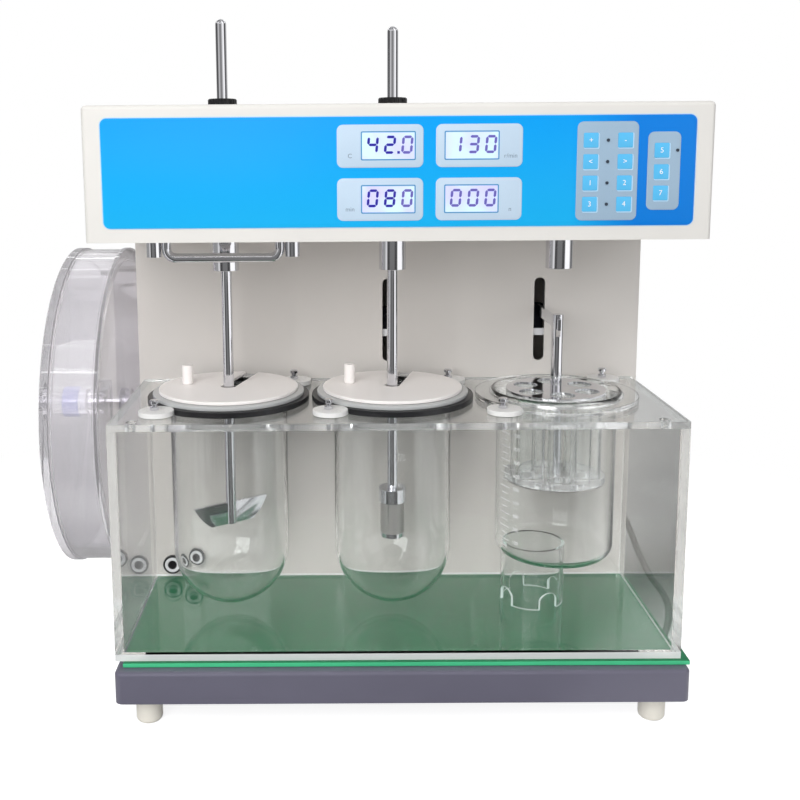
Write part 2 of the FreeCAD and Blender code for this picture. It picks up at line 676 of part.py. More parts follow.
def notched_ring(name, inner, side, thick):
    """A ring on the top plate with a notch round each of its two clamp cams."""
    ring = pipe(f"{name}_ring", D.gasket_radius, inner, (spindle_x[side], spindle_y, tank_top), thick)
    reach = D.cam_radius + D.cam_throw + D.cam_notch
    notches = [rod(f"{name}_notch_{place_name}", reach, (spindle_x[side] + dx, spindle_y + dy, tank_top - 1), thick + 2)
               for place_name, dx, dy in CAM_PLACES]
    return cut(name, ring, *notches)


def make_vessels():
    vessel_outer, vessel_inner = D.vessel_radius, D.vessel_radius - D.vessel_wall
    ball_z = flange_top - D.vessel_length + D.vessel_radius
    rise = flange_top - ball_z
    profile = [(0, -vessel_outer), (vessel_outer, 0), (vessel_outer, rise - D.flange_thick),
               (D.flange_radius, rise - D.flange_thick), (D.flange_radius, rise), (vessel_inner, rise),
               (vessel_inner, 0), (0, -vessel_inner)]
    gaskets = []
    for side in ("left", "middle"):
        at = (spindle_x[side], spindle_y, ball_z)
        node(turned(f"vessel_{side}_body", profile, at, {0: (vessel_outer, 1), 6: (vessel_inner, -1)}),
             f"vessel_{side}")
        gaskets.append(notched_ring(f"gasket_{side}", D.vessel_radius + D.seat_gap, side, D.gasket_thick))
    node(group("gaskets", *gaskets), "vessel_gaskets")


def make_lids():
    for side in ("left", "middle"):
        x = spindle_x[side]
        disc = rod(f"lid_disc_{side}", D.lid_radius, (x, spindle_y, lid_z), D.lid_thick)
        hole = rod(f"lid_bore_{side}", D.lid_hole, (x, spindle_y, lid_z - 1), D.lid_thick + 2)
        slot = doc.addObject("Part::Box", f"lid_slot_{side}")
        bind(slot, "Length", D.lid_radius + 2)
        bind(slot, "Width", D.lid_slot_width)
        bind(slot, "Height", D.lid_thick + 2)
        half = D.lid_slot_width / 2
        place(slot, x + half * sin(D.lid_slot_angle), spindle_y - half * cos(D.lid_slot_angle), lid_z - 1,
              turn=D.lid_slot_angle)
        neck = D.plug_radius - D.plug_neck
        socket = rod(f"lid_socket_{side}", neck + D.seat_gap, (x + D.plug_x, spindle_y + D.plug_y, lid_z - 1),
                     D.lid_thick + 2)
        node(cut(f"lid_{side}_cut", disc, hole, slot, socket), f"lid_{side}")
        below = D.lid_thick + D.seat_gap + 2
        top = D.plug_height
        plug = [(0, -below), (neck, -below), (neck, 0), (D.plug_radius, 0), (D.plug_radius, top), (0, top)]
        node(turned(f"plug_{side}", plug, (x + D.plug_x, spindle_y + D.plug_y, lid_top + D.seat_gap)),
             f"sampling_plug_{side}")


def make_cams():
    screws = []
    waist = D.screw_head * 0.6
    bore = D.screw_radius + D.running_gap
    number = 0
    for side, x in spindle_x.items():
        for _, dx, dy in CAM_PLACES:
            number += 1
            at_x, at_y = x + dx, spindle_y + dy
            disc = rod(f"cam_disc_{number}", D.cam_radius, (at_x + D.cam_throw, at_y, cam_z), D.cam_thick)
            hole = rod(f"cam_hole_{number}", bore, (at_x, at_y, cam_z - 1), D.cam_thick + 2)
            node(cut(f"cam_{number}", disc, hole), f"clamp_cam_{number}")
            low = plate_z - cam_top - D.seat_gap
            tall = D.screw_tall
            profile = [(0, low), (D.screw_radius, low), (D.screw_radius, 0), (D.screw_head, 0),
                       (D.screw_head, tall * 0.3), (waist, tall * 0.4), (waist, tall * 0.55),
                       (D.screw_head, tall * 0.65), (D.screw_head, tall - 0.8), (D.screw_head - 0.8, tall), (0, tall)]
            screws.append(turned(f"screw_{number}", profile, (at_x, at_y, cam_top + D.seat_gap)))
    node(group("screws", *screws), "clamp_thumbscrews")


def make_beaker():
    x = spindle_x["right"]
    stand_z = tank_z + D.tank_floor
    beaker_z = stand_z + D.stand_height
    outer, inner = D.beaker_radius, D.beaker_radius - D.beaker_wall
    tall, lip, corner, wall = D.beaker_height, D.beaker_lip, D.beaker_corner, D.beaker_wall
    profile = [(0, 0), (outer - corner, 0), (outer, corner), (outer, tall - lip * 2), (outer + lip, tall),
               (outer + lip - wall, tall), (inner, tall - lip * 2), (inner, corner), (outer - corner, wall),
               (0, wall)]
    body = turned("beaker_body", profile, (x, spindle_y, beaker_z), {1: (corner, 1), 7: (corner - wall, -1)})
    node(body, "beaker")
    node(notched_ring("collar", D.beaker_radius + D.beaker_lip + D.hole_gap, "right", D.collar_thick), "beaker_collar")

    at_x, at_y = x + D.stand_x, spindle_y + D.stand_y
    tube = pipe("stand_tube", D.stand_radius, D.stand_radius - D.stand_wall, (at_x, at_y, stand_z), D.stand_height)
    arches = []
    for quarter in range(4):
        angle = D.stand_turn + 90 * quarter
        reach = D.stand_radius + 2
        radius = D.stand_arch_radius
        bar = plate(f"stand_arch_{quarter}",
                    [(-radius, -1), (radius, -1), (radius, D.stand_arch_height), (-radius, D.stand_arch_height)],
                    reach, (at_x, at_y, stand_z), {2: (radius * 1.05, 1)}, role="XZ_Plane", turn=angle)
        arches.append(bar)
    node(cut("stand_cut", tube, *arches), "beaker_stand")


# ---------------------------------------------------------------- column
def make_column(ports):
    z_range = (base_top, head_z)
    outer = block("column_outer", column_x, (column_front, column_back), z_range)
    inner = block("column_inner", (column_x[0] + D.column_sheet, column_x[1] - D.column_sheet),
                  (column_inner, column_back + 1), (base_top - 1, head_z + 1))
    tools = [inner]
    radius = D.slot_width / 2
    for side in ("middle", "right"):
        x = spindle_x[side]
        low = (x, column_front - 1, base_top + D.slot_z + radius)
        high = (x, column_front - 1, base_top + D.slot_z + D.slot_height - radius)
        tools.append(stadium(f"slot_{side}", radius, low, high, D.column_sheet + 2))
    tools.append(rod("column_drum_hole", D.bearing_flange, (column_x[0] - 1, spindle_y + D.drum_y, D.drum_z),
                     D.column_sheet + 2, "x"))
    for index, (x, z) in enumerate(ports):
        tools.append(rod(f"column_port_{index}", D.port_bore + D.port_wall, (x, column_front - 1, z),
                         D.column_sheet + 2, "y"))
    node(cut("column_cut", outer, *tools), "column_shell")

    panel_y = (column_back - D.column_sheet, column_back)
    stock = block("rear_stock", (column_x[0] + D.column_sheet, column_x[1] - D.column_sheet), panel_y, z_range)
    tools = []
    for row in range(int(D.louvre_rows.value)):
        low = base_top + D.louvre_z + D.louvre_pitch * row
        for index, x in enumerate((spindle_x["left"], spindle_x["right"])):
            tools.append(block(f"louvre_{row}_{index}", (x - D.louvre_width / 2, x + D.louvre_width / 2),
                               (column_back - D.column_sheet - 1, column_back + 1), (low, low + D.louvre_height)))
    tools.append(rod("rear_gland_hole", D.gland_radius * 0.8,
                     (D.machine_x + D.gland_x, panel_y[0] - 1, base_top + D.gland_z), D.column_sheet + 2, "y"))
    switch_x, switch_z = D.machine_x + D.switch_x, base_top + D.switch_z
    half_w, half_h = D.switch_width / 2 + D.seat_gap, D.switch_height / 2 + D.seat_gap
    tools.append(block("rear_switch_hole", (switch_x - half_w, switch_x + half_w),
                       (panel_y[0] - 1, panel_y[1] + 1), (switch_z - half_h, switch_z + half_h)))
    node(cut("rear_cut", stock, *tools), "column_rear_panel")


# ---------------------------------------------------------------- head, panel and keys
def make_head():
    shell = rounded_slab("head_slab", head_x, head_y, (head_z, head_top), D.head_corner, D.head_corner)
    sheet_thick = D.head_sheet
    tools = [block("head_hollow", (head_x[0] + sheet_thick, head_x[1] - sheet_thick),
                   (head_y[0] + sheet_thick, head_y[1] - sheet_thick),
                   (head_z + sheet_thick, head_top - sheet_thick)),
             block("head_duct", (column_x[0] + D.duct_side, column_x[1] - D.duct_side),
                   (column_inner + D.duct_front, column_back - D.duct_side), (head_z - 1, head_z + sheet_thick + 1))]
    hole = D.sleeve_radius + D.seat_gap
    for side, x in spindle_x.items():
        tools.append(rod(f"head_hole_{side}", hole, (x, spindle_y, head_z - 1), sheet_thick + 2))
        if side != "right":
            tools.append(rod(f"head_top_hole_{side}", hole, (x, spindle_y, head_top - sheet_thick - 1),
                             sheet_thick + 2))
    node(cut("head_cut", shell, *tools), "head_shell")


def panel_box(name, left, drop, width, height, front, back):
    """A thin block on the control panel, given from the middle spindle and the head's top."""
    x, top = D.machine_x + left, head_top - drop
    return block(name, (x, x + width), (front, back), (top - height, top))


def make_panel():
    face = head_y[0]
    corner = D.panel_corner
    width, height = D.panel_width, D.panel_height
    outline = [(corner, 0), (width - corner, 0), (width, corner), (width, height - corner),
               (width - corner, height), (corner, height), (0, height - corner), (0, corner)]
    rounds = {index: (corner, 1) for index in (1, 3, 5, 7)}
    film = plate("panel_film", outline, D.panel_thick,
                 (D.machine_x - width / 2, face, head_top - D.panel_drop - height), rounds, role="XZ_Plane")
    front = face - D.panel_thick
    raised = front - D.surround_thick
    fields = [panel_box("key_field", D.keypad_x, D.keypad_drop, D.keypad_width, D.keypad_height, raised, front),
              panel_box("side_field", D.sidepad_x, D.sidepad_drop, D.sidepad_width, D.sidepad_height, raised, front)]
    cutouts, glasses = [], []
    for column, inset in enumerate((D.window_inset_left, D.window_inset_right)):
        for row in range(2):
            left = D.surround_x + D.surround_step_x * column
            drop = D.surround_drop + D.surround_step_z * row
            fields.append(panel_box(f"surround_{column}{row}", left, drop, D.surround_width, D.surround_height,
                                    raised, front))
            window = (left + inset, drop + D.window_drop, D.window_width, D.window_height)
            cutouts.append(panel_box(f"window_{column}{row}", *window, raised - 1, face))
            glasses.append(panel_box(f"glass_{column}{row}", *window, face - D.glass_thick, face))
    node(cut("panel_cut", joined("panel_stock", film, *fields), *cutouts), "control_panel")
    node(group("glasses", *glasses), "display_windows")

    keys = []
    half = D.key_size / 2
    places = [(D.key_x + D.key_step_x * column, D.key_drop + D.key_pitch * row)
              for column in range(2) for row in range(4)]
    places += [(D.side_key_x, D.side_key_drop + D.key_pitch * row) for row in range(3)]
    for index, (x, drop) in enumerate(places):
        keys.append(panel_box(f"key_{index}", x - half, drop - half, D.key_size, D.key_size,
                              raised - D.key_thick, raised))
    node(group("keys", *keys), "keypad_keys")

    lamps = [rod(f"lamp_{row}", D.lamp_radius,
                 (D.machine_x + D.lamp_x, raised - D.lamp_thick, head_top - D.key_drop - D.key_pitch * row),
                 D.lamp_thick, "y") for row in range(4)]
    lamps.append(rod("lamp_side", D.lamp_radius,
                     (D.machine_x + D.side_lamp_x, raised - D.lamp_thick, head_top - D.side_key_drop),
                     D.lamp_thick, "y"))
    node(group("lamps", *lamps), "status_lamps")


def make_handle():
    middle = spindle_x["left"] + D.handle_x
    y = spindle_y + D.handle_y
    z = head_z - D.handle_drop
    bend, half, radius = D.handle_bend, D.handle_span / 2, D.handle_radius
    pieces = [rod("handle_bar", radius, (middle - half + bend, y, z), D.handle_span - bend * 2, "x")]
    for name, side in (("left", -1), ("right", 1)):
        pieces.append(rod(f"handle_leg_{name}", radius, (middle + half * side, y, z + bend), D.handle_drop - bend))
        elbow = doc.addObject("Part::Torus", f"handle_elbow_{name}")
        bind(elbow, "Radius1", bend)
        bind(elbow, "Radius2", radius)
        elbow.Angle3 = 90
        place(elbow, middle + (half - bend) * side, y, z + bend)
        quarter = Rotation(Vector(0, 0, 1), 180 if side < 0 else 270)
        elbow.Placement.Rotation = Rotation(Vector(1, 0, 0), 90) * quarter
        pieces.append(elbow)
    posts = []
    for name, side in (("left", -1), ("right", 1)):
        post_x = middle + (half + D.post_step) * side
        posts.append(rod(f"handle_post_{name}", D.post_radius, (post_x, y, head_z - D.post_drop), D.post_drop))
    node(group("handle", joined("handle_rail", *pieces), *posts), "head_handle")


# ---------------------------------------------------------------- spindles, shafts and their drive
def make_spindles():
    bore = D.shaft_radius + D.running_gap
    sleeve = D.sleeve_radius
    low = -D.sleeve_drop
    pulley_low, pulley_high = D.pulley_z, D.pulley_z + D.pulley_width
    seat = D.pulley_radius - D.pulley_rim
    rim = (D.pulley_width - D.belt_width) / 2 - D.seat_gap
    for side, x in spindle_x.items():
        tall = D.head_height - D.head_sheet - 1 if side == "right" else D.head_height
        profile = [(bore, low), (sleeve, low), (sleeve, pulley_low), (D.pulley_radius, pulley_low),
                   (D.pulley_radius, pulley_low + rim), (seat, pulley_low + rim), (seat, pulley_high - rim),
                   (D.pulley_radius, pulley_high - rim), (D.pulley_radius, pulley_high), (sleeve, pulley_high),
                   (sleeve, tall)]
        if side == "right":
            profile += [(bore, tall)]
        else:
            profile += [(D.nose_radius, tall), (D.nose_radius, tall + D.nose_height), (bore, tall + D.nose_height)]
        node(turned(f"spindle_{side}_body", profile, (x, spindle_y, head_z)), f"spindle_{side}")

    housings = []
    lower = head_z + D.head_sheet
    upper = head_top - D.head_sheet - D.bearing_height
    for side, x in spindle_x.items():
        for level, z in (("low", lower), ("high", upper)):
            housings.append(pipe(f"bearing_{level}_{side}", D.bearing_radius, sleeve + D.running_gap,
                                 (x, spindle_y, z), D.bearing_height))
    node(group("bearings", *housings), "spindle_bearings")

    motor_x = D.machine_x + D.spindle_pitch / 2
    wheel_low = head_z + D.pulley_z + rim - lower
    wheel_high = head_z + D.pulley_z + D.pulley_width - rim - lower
    profile = [(0, 0), (D.motor_radius, 0), (D.motor_radius, D.motor_height), (D.motor_shaft, D.motor_height),
               (D.motor_shaft, wheel_low), (seat, wheel_low), (seat, wheel_high), (0, wheel_high)]
    node(turned("motor", profile, (motor_x, spindle_y, lower)), "stirrer_motor")

    inner = seat + D.belt_gap
    z = head_z + D.pulley_z + (D.pulley_width - D.belt_width) / 2
    first, last = (spindle_x["left"], spindle_y, z), (spindle_x["right"], spindle_y, z)
    hollow_first, hollow_last = (first[0], first[1], z - 1), (last[0], last[1], z - 1)
    node(cut("belt", stadium("belt_outer", inner + D.belt_thick, first, last, D.belt_width),
             stadium("belt_inner", inner, hollow_first, hollow_last, D.belt_width + 2)), "drive_belt")


def make_lock_knobs():
    for side in ("left", "middle"):
        at = (spindle_x[side], spindle_y, head_top + D.seat_gap)
        hollow = D.nose_radius + D.seat_gap
        bore = D.shaft_radius + D.seat_gap
        roof = D.knob_height - D.knob_cap
        profile = [(hollow, 0), (D.knob_radius, 0), (D.knob_radius, D.knob_height - 1),
                   (D.knob_radius - 1, D.knob_height), (bore, D.knob_height), (bore, roof), (hollow, roof)]
        stock = turned(f"lock_{side}", profile, at)
        flutes = []
        for index in range(int(D.knob_flute_count.value)):
            angle = 360 / D.knob_flute_count * index
            flutes.append(rod(f"flute_{side}_{index}", D.knob_flute,
                              (at[0] + D.knob_radius * cos(angle), at[1] + D.knob_radius * sin(angle), at[2] - 1),
                              D.knob_height + 2))
        node(cut(f"lock_{side}_cut", stock, *flutes), f"lock_knob_{side}")


def make_paddle():
    x = spindle_x["left"]
    foot, top, radius = D.paddle_foot, D.paddle_top, D.shaft_radius
    profile = [(0, foot), (radius, foot), (radius, top - radius), (0, top)]
    shaft = turned("paddle_rod", profile, (x, spindle_y, 0), {2: (radius, 1)})
    half_top, half_base = D.blade_chord / 2, D.blade_base / 2
    outline = [(-half_base, 0), (half_base, 0), (half_top, D.blade_height), (-half_top, D.blade_height)]
    half = D.blade_thick / 2
    corner = (x - sin(D.blade_turn) * half, spindle_y + cos(D.blade_turn) * half, foot)
    blade = plate("paddle_plate", outline, D.blade_thick, corner,
                  {1: (D.blade_side_radius, 1), 3: (D.blade_side_radius, 1)}, role="XZ_Plane", turn=D.blade_turn)
    node(joined("paddle_weld", shaft, blade), "paddle")


def make_basket():
    x = spindle_x["middle"]
    foot, top, radius = D.basket_foot, D.basket_top, D.shaft_radius
    cap_top = foot + D.basket_length
    cap_low = cap_top - D.cap_skirt
    disc_low = cap_top - D.cap_disc
    inner = D.cap_radius - D.cap_skirt_wall
    profile = [(0, disc_low), (inner, disc_low), (inner, cap_low), (D.cap_radius, cap_low), (D.cap_radius, cap_top),
               (radius, cap_top), (radius, top - radius), (0, top)]
    node(turned("basket_rod", profile, (x, spindle_y, 0), {6: (radius, 1)}), "basket_shaft")
    outer, thin, band = D.basket_radius, D.basket_mesh, D.basket_band
    lip = D.cap_radius - D.cap_skirt_wall - D.seat_gap
    tall = disc_low - D.seat_gap - foot
    profile = [(0, 0), (outer, 0), (outer, tall - band), (lip, tall - band), (lip, tall), (outer - thin, tall),
               (outer - thin, thin), (0, thin)]
    node(turned("basket_cup", profile, (x, spindle_y, foot)), "mesh_basket")


# ---------------------------------------------------------------- disintegration lift and its rack
def make_lift():
    x_arm = spindle_x["right"]
    beam_y = (column_inner + D.carriage_gap, column_inner + D.carriage_gap + D.carriage_thick)
    bar_z = (D.carriage_z, D.carriage_z + D.carriage_bar)
    arm_z = (D.arm_z, D.arm_z + D.arm_height)
    guide_y = column_inner + D.guide_back
    middle = (spindle_x["middle"] + spindle_x["right"]) / 2
    guide_x = [middle - D.guide_spread / 2, middle + D.guide_spread / 2]
    half = D.guide_block / 2

    pieces = [block("lift_bar", (spindle_x["middle"] - D.carriage_over, x_arm + D.carriage_over), beam_y, bar_z)]
    for name, x, top in (("arm", x_arm, arm_z[1]), ("stub", spindle_x["middle"], D.bolt_z + D.lug_width)):
        pieces.append(block(f"lift_lug_{name}", (x - D.lug_width / 2, x + D.lug_width / 2), beam_y, (bar_z[0], top)))
    pieces.append(rod("lift_bolt", D.bolt_radius, (spindle_x["middle"], column_inner + D.seat_gap, D.bolt_z),
                      D.carriage_gap, "y"))
    bores = []
    for index, x in enumerate(guide_x):
        pieces.append(block(f"lift_block_{index}", (x - half, x + half), (beam_y[0], guide_y + half),
                            (bar_z[0], bar_z[0] + D.guide_block)))
        bores.append(rod(f"lift_bore_{index}", D.guide_radius + D.running_gap, (x, guide_y, bar_z[0] - 1),
                         D.guide_block + 2))
    node(cut("lift_cut", joined("lift_stock", *pieces), *bores), "lift_carriage")

    node(block("arm_bar", (x_arm - D.arm_thick / 2, x_arm + D.arm_thick / 2), (spindle_y - D.arm_tip, beam_y[0]),
               arm_z), "hanging_arm")

    guides = []
    shelf_x = (guide_x[0] - half, guide_x[1] + half)
    for index, z in enumerate((D.guide_z, D.guide_z + D.guide_length - D.guide_shelf)):
        guides.append(block(f"guide_shelf_{index}", shelf_x, (column_inner, guide_y + half), (z, z + D.guide_shelf)))
    for index, x in enumerate(guide_x):
        guides.append(rod(f"guide_rod_{index}", D.guide_radius, (x, guide_y, D.guide_z), D.guide_length))
    motor_x = (middle - D.lift_motor_width / 2, middle + D.lift_motor_width / 2)
    motor_y = (column_inner, column_inner + D.lift_motor_depth)
    motor_z = (base_top, base_top + D.lift_motor_height)
    body = block("lift_motor_body", motor_x, motor_y, motor_z)
    crank_z = motor_z[1] + D.crank_radius
    tower = block("lift_motor_tower", (middle - D.crank_radius / 2, middle + D.crank_radius / 2), motor_y,
                  (motor_z[1], crank_z + D.crank_radius / 2))
    disc = rod("lift_crank", D.crank_radius, (middle, motor_y[1], crank_z), D.crank_thick, "y")
    node(group("lift_fixed", joined("guides", *guides), joined("lift_motor", body, tower, disc)), "lift_drive")


def make_rack():
    x = spindle_x["right"]
    top = D.rack_top
    plate_top = top - D.rack_cover
    low_plate = plate_top - D.tube_length - D.rack_plate / 2
    arm_top = D.arm_z + D.arm_height
    hanger_top = arm_top + D.hanger_over
    cover = rod("rack_cover_disc", D.rack_radius, (x, spindle_y, plate_top), D.rack_cover)
    stem = rod("rack_stem", D.hanger_radius, (x, spindle_y, low_plate), hanger_top - low_plate)
    steel_tools = [block("rack_eye", (x - D.arm_thick / 2 - D.seat_gap, x + D.arm_thick / 2 + D.seat_gap),
                         (spindle_y - D.hanger_radius - 1, spindle_y + D.hanger_radius + 1),
                         (D.arm_z - D.hanger_under, arm_top + D.seat_gap))]
    levels = {"top": plate_top - D.rack_plate, "low": low_plate}
    seats = {level: [rod(f"rack_core_{level}", D.hanger_radius, (x, spindle_y, z - 1), D.rack_plate + 2)]
             for level, z in levels.items()}
    tubes = []
    for index in range(int(D.tube_count.value)):
        angle = D.tube_turn + 360 / D.tube_count * index
        at_x, at_y = x + D.tube_circle * cos(angle), spindle_y + D.tube_circle * sin(angle)
        for level, z in levels.items():
            seats[level].append(rod(f"rack_seat_{level}_{index}", D.tube_radius, (at_x, at_y, z - 1),
                                    D.rack_plate + 2))
        steel_tools.append(rod(f"rack_hole_{index}", D.cover_hole, (at_x, at_y, plate_top - 1), D.rack_cover + 2))
        tubes.append(pipe(f"tube_{index}", D.tube_radius, D.tube_radius - D.tube_wall, (at_x, at_y, low_plate),
                          plate_top - low_plate))
    node(cut("hanger_cut", joined("hanger_stock", cover, stem), *steel_tools), "rack_hanger")
    discs = [cut(f"rack_plate_{level}", rod(f"rack_disc_{level}", D.rack_radius, (x, spindle_y, z), D.rack_plate),
                 *seats[level]) for level, z in levels.items()]
    node(group("plates", *discs), "rack_plates")
    node(group("tubes", *tubes), "rack_tubes")
    node(rod("sieve", D.rack_radius, (x, spindle_y, low_plate - D.sieve_thick), D.sieve_thick), "rack_sieve")


# ---------------------------------------------------------------- friability drum
def make_drum():
    y, z = spindle_y + D.drum_y, D.drum_z
    back_x = least(tank_x[0], column_x[0]) - D.drum_gap
    inner_x = back_x - D.drum_back
    open_x = inner_x - D.drum_depth
    cover_x = open_x - D.drum_cover
    bore = D.drum_shaft + D.running_gap
    # the drum is turned about X: heights run from the open rim towards the column
    depth, back = D.drum_depth, D.drum_depth + D.drum_back
    ring = D.drum_radius - D.drum_rim
    inside = ring - D.drum_wall
    hub_end = depth - D.hub_wall
    profile = [(inside, 0), (ring, 0), (ring, depth), (D.drum_radius, depth), (D.drum_radius, back), (bore, back),
               (bore, hub_end), (D.drum_hub, hub_end), (D.drum_hub, depth), (inside, depth)]
    shell = turned("drum_shell", profile, (open_x, y, z), along="x")

    # the scoop: a curved vane from the hub to the ring, as wide as the drum's inside
    vane = pipe("scoop_ring", D.scoop_radius + D.scoop_wall, D.scoop_radius,
                (open_x, y, z + D.scoop_radius + D.scoop_wall / 2), D.drum_depth, "x")
    far = inside * 3
    half = block("scoop_half", (open_x - 1, inner_x + 1), (y, y + far), (z - far, z + far))
    bound = rod("scoop_bound", inside, (open_x - 1, y, z), D.drum_depth + 2, "x")
    hub = rod("scoop_hub", D.drum_hub, (open_x - 1, y, z), D.drum_depth + 2, "x")
    kept = doc.addObject("Part::MultiCommon", "scoop_common")
    kept.Shapes = [vane, half, bound]
    scoop = cut("scoop_cut", kept, hub)
    node(joined("drum_moulding", shell, scoop), "drum_body")

    hub_end = D.drum_cover + D.hub_length
    cover_profile = [(bore, 0), (D.drum_radius, 0), (D.drum_radius, D.drum_cover), (D.drum_hub, D.drum_cover),
                     (D.drum_hub, hub_end), (bore, hub_end)]
    node(turned("cover", cover_profile, (cover_x, y, z), along="x"), "drum_cover")

    motor_x = column_x[0] + D.column_sheet
    knob_x = cover_x - D.seat_gap - D.knob_length
    shaft_x = knob_x + D.knob_end + D.knob_play
    node(rod("drum_axle", D.drum_shaft, (shaft_x, y, z), motor_x + D.shaft_in_gear - shaft_x, "x"), "drum_shaft")

    grip = D.knob_grip
    neck = D.knob_band - D.knob_step
    knob_profile = [(0, 0), (D.knob_band, 0), (D.knob_band, grip), (neck, grip), (neck, D.knob_length),
                    (bore, D.knob_length), (bore, D.knob_end), (0, D.knob_end)]
    node(turned("knob", knob_profile, (knob_x, y, z), along="x"), "drum_knob")

    # bearing flange outside the column's side, gearbox inside it
    reach = D.bearing_reach
    half_size = D.gearmotor_size / 2
    bearing = rod("drum_bearing", D.bearing_flange, (column_x[0] - reach, y, z), reach + D.column_sheet + 1, "x")
    box = block("drum_gearbox", (motor_x, motor_x + D.gearmotor_length),
                (column_inner, column_inner + D.gearmotor_size), (z - half_size, z + half_size))
    tunnel = rod("drum_tunnel", bore, (column_x[0] - reach - 1, y, z), reach + 1 + D.column_sheet + D.gearmotor_bore,
                 "x")
    node(cut("drum_motor_cut", joined("drum_motor_stock", bearing, box), tunnel), "drum_gearmotor")


# ---------------------------------------------------------------- circulation pump
def make_pump(ports):
    y = column_inner + D.pump_back + D.pump_radius
    first, last = ports[0][0], ports[1][0]
    x = (first + last) / 2
    can = rod("pump_can", D.pump_radius, (x, y, base_top), D.pump_height)
    manifold = block("pump_manifold", (first - D.hose_radius, last + D.hose_radius),
                     (column_inner + D.pump_back, y), (base_top, base_top + D.pump_height / 2))
    node(joined("pump", can, manifold), "circulation_pump")


# ---------------------------------------------------------------- switch and mains cord
def cord_edges(points):
    """Straight runs joined by tangent arcs, each arc as large as its two runs allow."""
    points = [Vector(*point) for point in points]
    start = points[0]
    edges, radii = [], []
    for before, corner, after in zip(points, points[1:], points[2:]):
        inward, outward = (corner - before).normalize(), (after - corner).normalize()
        half_turn = inward.getAngle(outward) / 2
        reach = CORD_ARC_SHARE * min((corner - before).Length, (after - corner).Length)
        radius = reach / math.tan(half_turn)
        first, last = corner - inward * reach, corner + outward * reach
        bisector = (outward - inward).normalize()
        middle = corner + bisector * (radius / math.cos(half_turn) - radius)
        edges += [Part.LineSegment(start, first).toShape(), Part.Arc(first, middle, last).toShape()]
        radii.append(radius)
        start = last
    edges.append(Part.LineSegment(start, points[-1]).toShape())
    return edges, radii


def cord_tube(name, points):
    """A round tube along the cord's route."""
    edges, radii = cord_edges(points)
    radius = float(sheet.get("cord_radius"))
    direction = edges[0].tangentAt(edges[0].FirstParameter)
    section = Part.Wire(Part.Circle(Vector(*points[0]), direction, radius).toShape())
    solid = Part.Wire(edges).makePipeShell([section], True, False)
    length = sum(edge.Length for edge in edges)
    expected = math.pi * radius ** 2 * length
    print(name, "length", round(length), "smallest radius", round(min(radii), 1),
          "volume ratio", round(solid.Volume / expected, 4))
    tube = doc.addObject("Part::Feature", name)
    tube.Shape = solid
    tube.Placement = Placement()
    return tube


def make_electrics():
    switch_x, switch_z = D.machine_x + D.switch_x, base_top + D.switch_z
    low_x = switch_x - D.switch_width / 2
    drum = rod("rocker_drum", D.switch_round, (low_x, column_back - D.switch_pivot, switch_z), D.switch_width, "x")
    press = block("rocker_press", (low_x - 1, low_x + D.switch_width + 1),
                  (column_back + D.switch_dip, column_back + D.switch_round),
                  (switch_z + D.switch_dip, switch_z + D.switch_round + 1))
    node(cut("rocker", drum, press), "rear_switch")

    neck = D.gland_radius * 0.75
    inside = -D.column_sheet - D.gland_flange
    profile = [(0, inside), (D.gland_radius, inside), (D.gland_radius, -D.column_sheet), (neck, -D.column_sheet),
               (neck, 0), (D.gland_radius, 0), (D.gland_radius, D.gland_flange), (neck, D.gland_flange),
               (D.cord_radius + 1, D.gland_length), (0, D.gland_length)]
    node(turned("gland", profile, (D.machine_x + D.gland_x, column_back, base_top + D.gland_z), along="y"),
         "cord_gland")
    node(group("cord", cord_tube("cord_run", CORD_POINTS), cord_tube("cord_lead", LEAD_POINTS)), "power_cord")

    low, high = D.bench_gap, D.bench_gap + D.coil_height
    inner, outer, soft = D.coil_inner, D.coil_outer, D.coil_round
    coil = [(inner + soft, low), (outer - soft, low), (outer, low + soft), (outer, high - soft),
            (outer - soft, high), (inner + soft, high), (inner, high - soft), (inner, low + soft)]
    node(turned("coil", coil, (D.coil_x, D.coil_y, 0), {index: (soft, 1) for index in (1, 3, 5, 7)}), "cord_coil")

    end_x, end_y, end_z = LEAD_POINTS[-1]
    body_x = end_x - D.plug_relief
    face_x = body_x - D.plug_body
    relief = turned("relief", [(0, 0), (D.plug_waist + 1, 0), (D.cord_radius + 1, D.plug_relief), (0, D.plug_relief)],
                    (body_x, end_y, end_z), along="x")
    half, waist = D.plug_half, D.plug_waist
    grip = D.plug_body * 0.6
    outline = [(0, -half), (grip, -half), (D.plug_body, -waist), (D.plug_body, waist), (grip, half), (0, half)]
    shell = plate("plug_shell", outline, D.plug_tall, (face_x, end_y, end_z - D.plug_tall / 2))
    pins = [rod("earth_pin", D.earth_radius, (face_x - D.blade_length - 2, end_y, end_z - D.earth_down),
                D.blade_length + 3, "x")]
    for side in (-1, 1):
        middle = end_y + D.blade_apart * side
        pins.append(block(f"plug_blade_{side + 1}", (face_x - D.blade_length, face_x + 1),
                          (middle - D.blade_thin / 2, middle + D.blade_thin / 2),
                          (end_z + D.blade_up - D.blade_wide / 2, end_z + D.blade_up + D.blade_wide / 2)))
    node(joined("mains_plug", relief, shell, *pins), "power_plug")


make_base()
port_places = make_tank()
make_vessels()
make_lids()
make_cams()
make_beaker()
make_column(port_places)
make_head()
make_panel()
make_handle()
make_spindles()
make_lock_knobs()
make_paddle()
make_basket()
make_lift()
make_rack()
make_drum()
make_pump(port_places)
make_electrics()
doc.recompute()

faults = [thing.Name for thing in doc.Objects if {"Invalid", "Error"} & set(thing.State)]
for thing in NODES:
    if thing.Shape.isNull() or not thing.Shape.isValid() or not thing.Shape.Solids:
        faults.append(thing.Label)
if faults:
    raise RuntimeError("failed: " + ", ".join(faults))

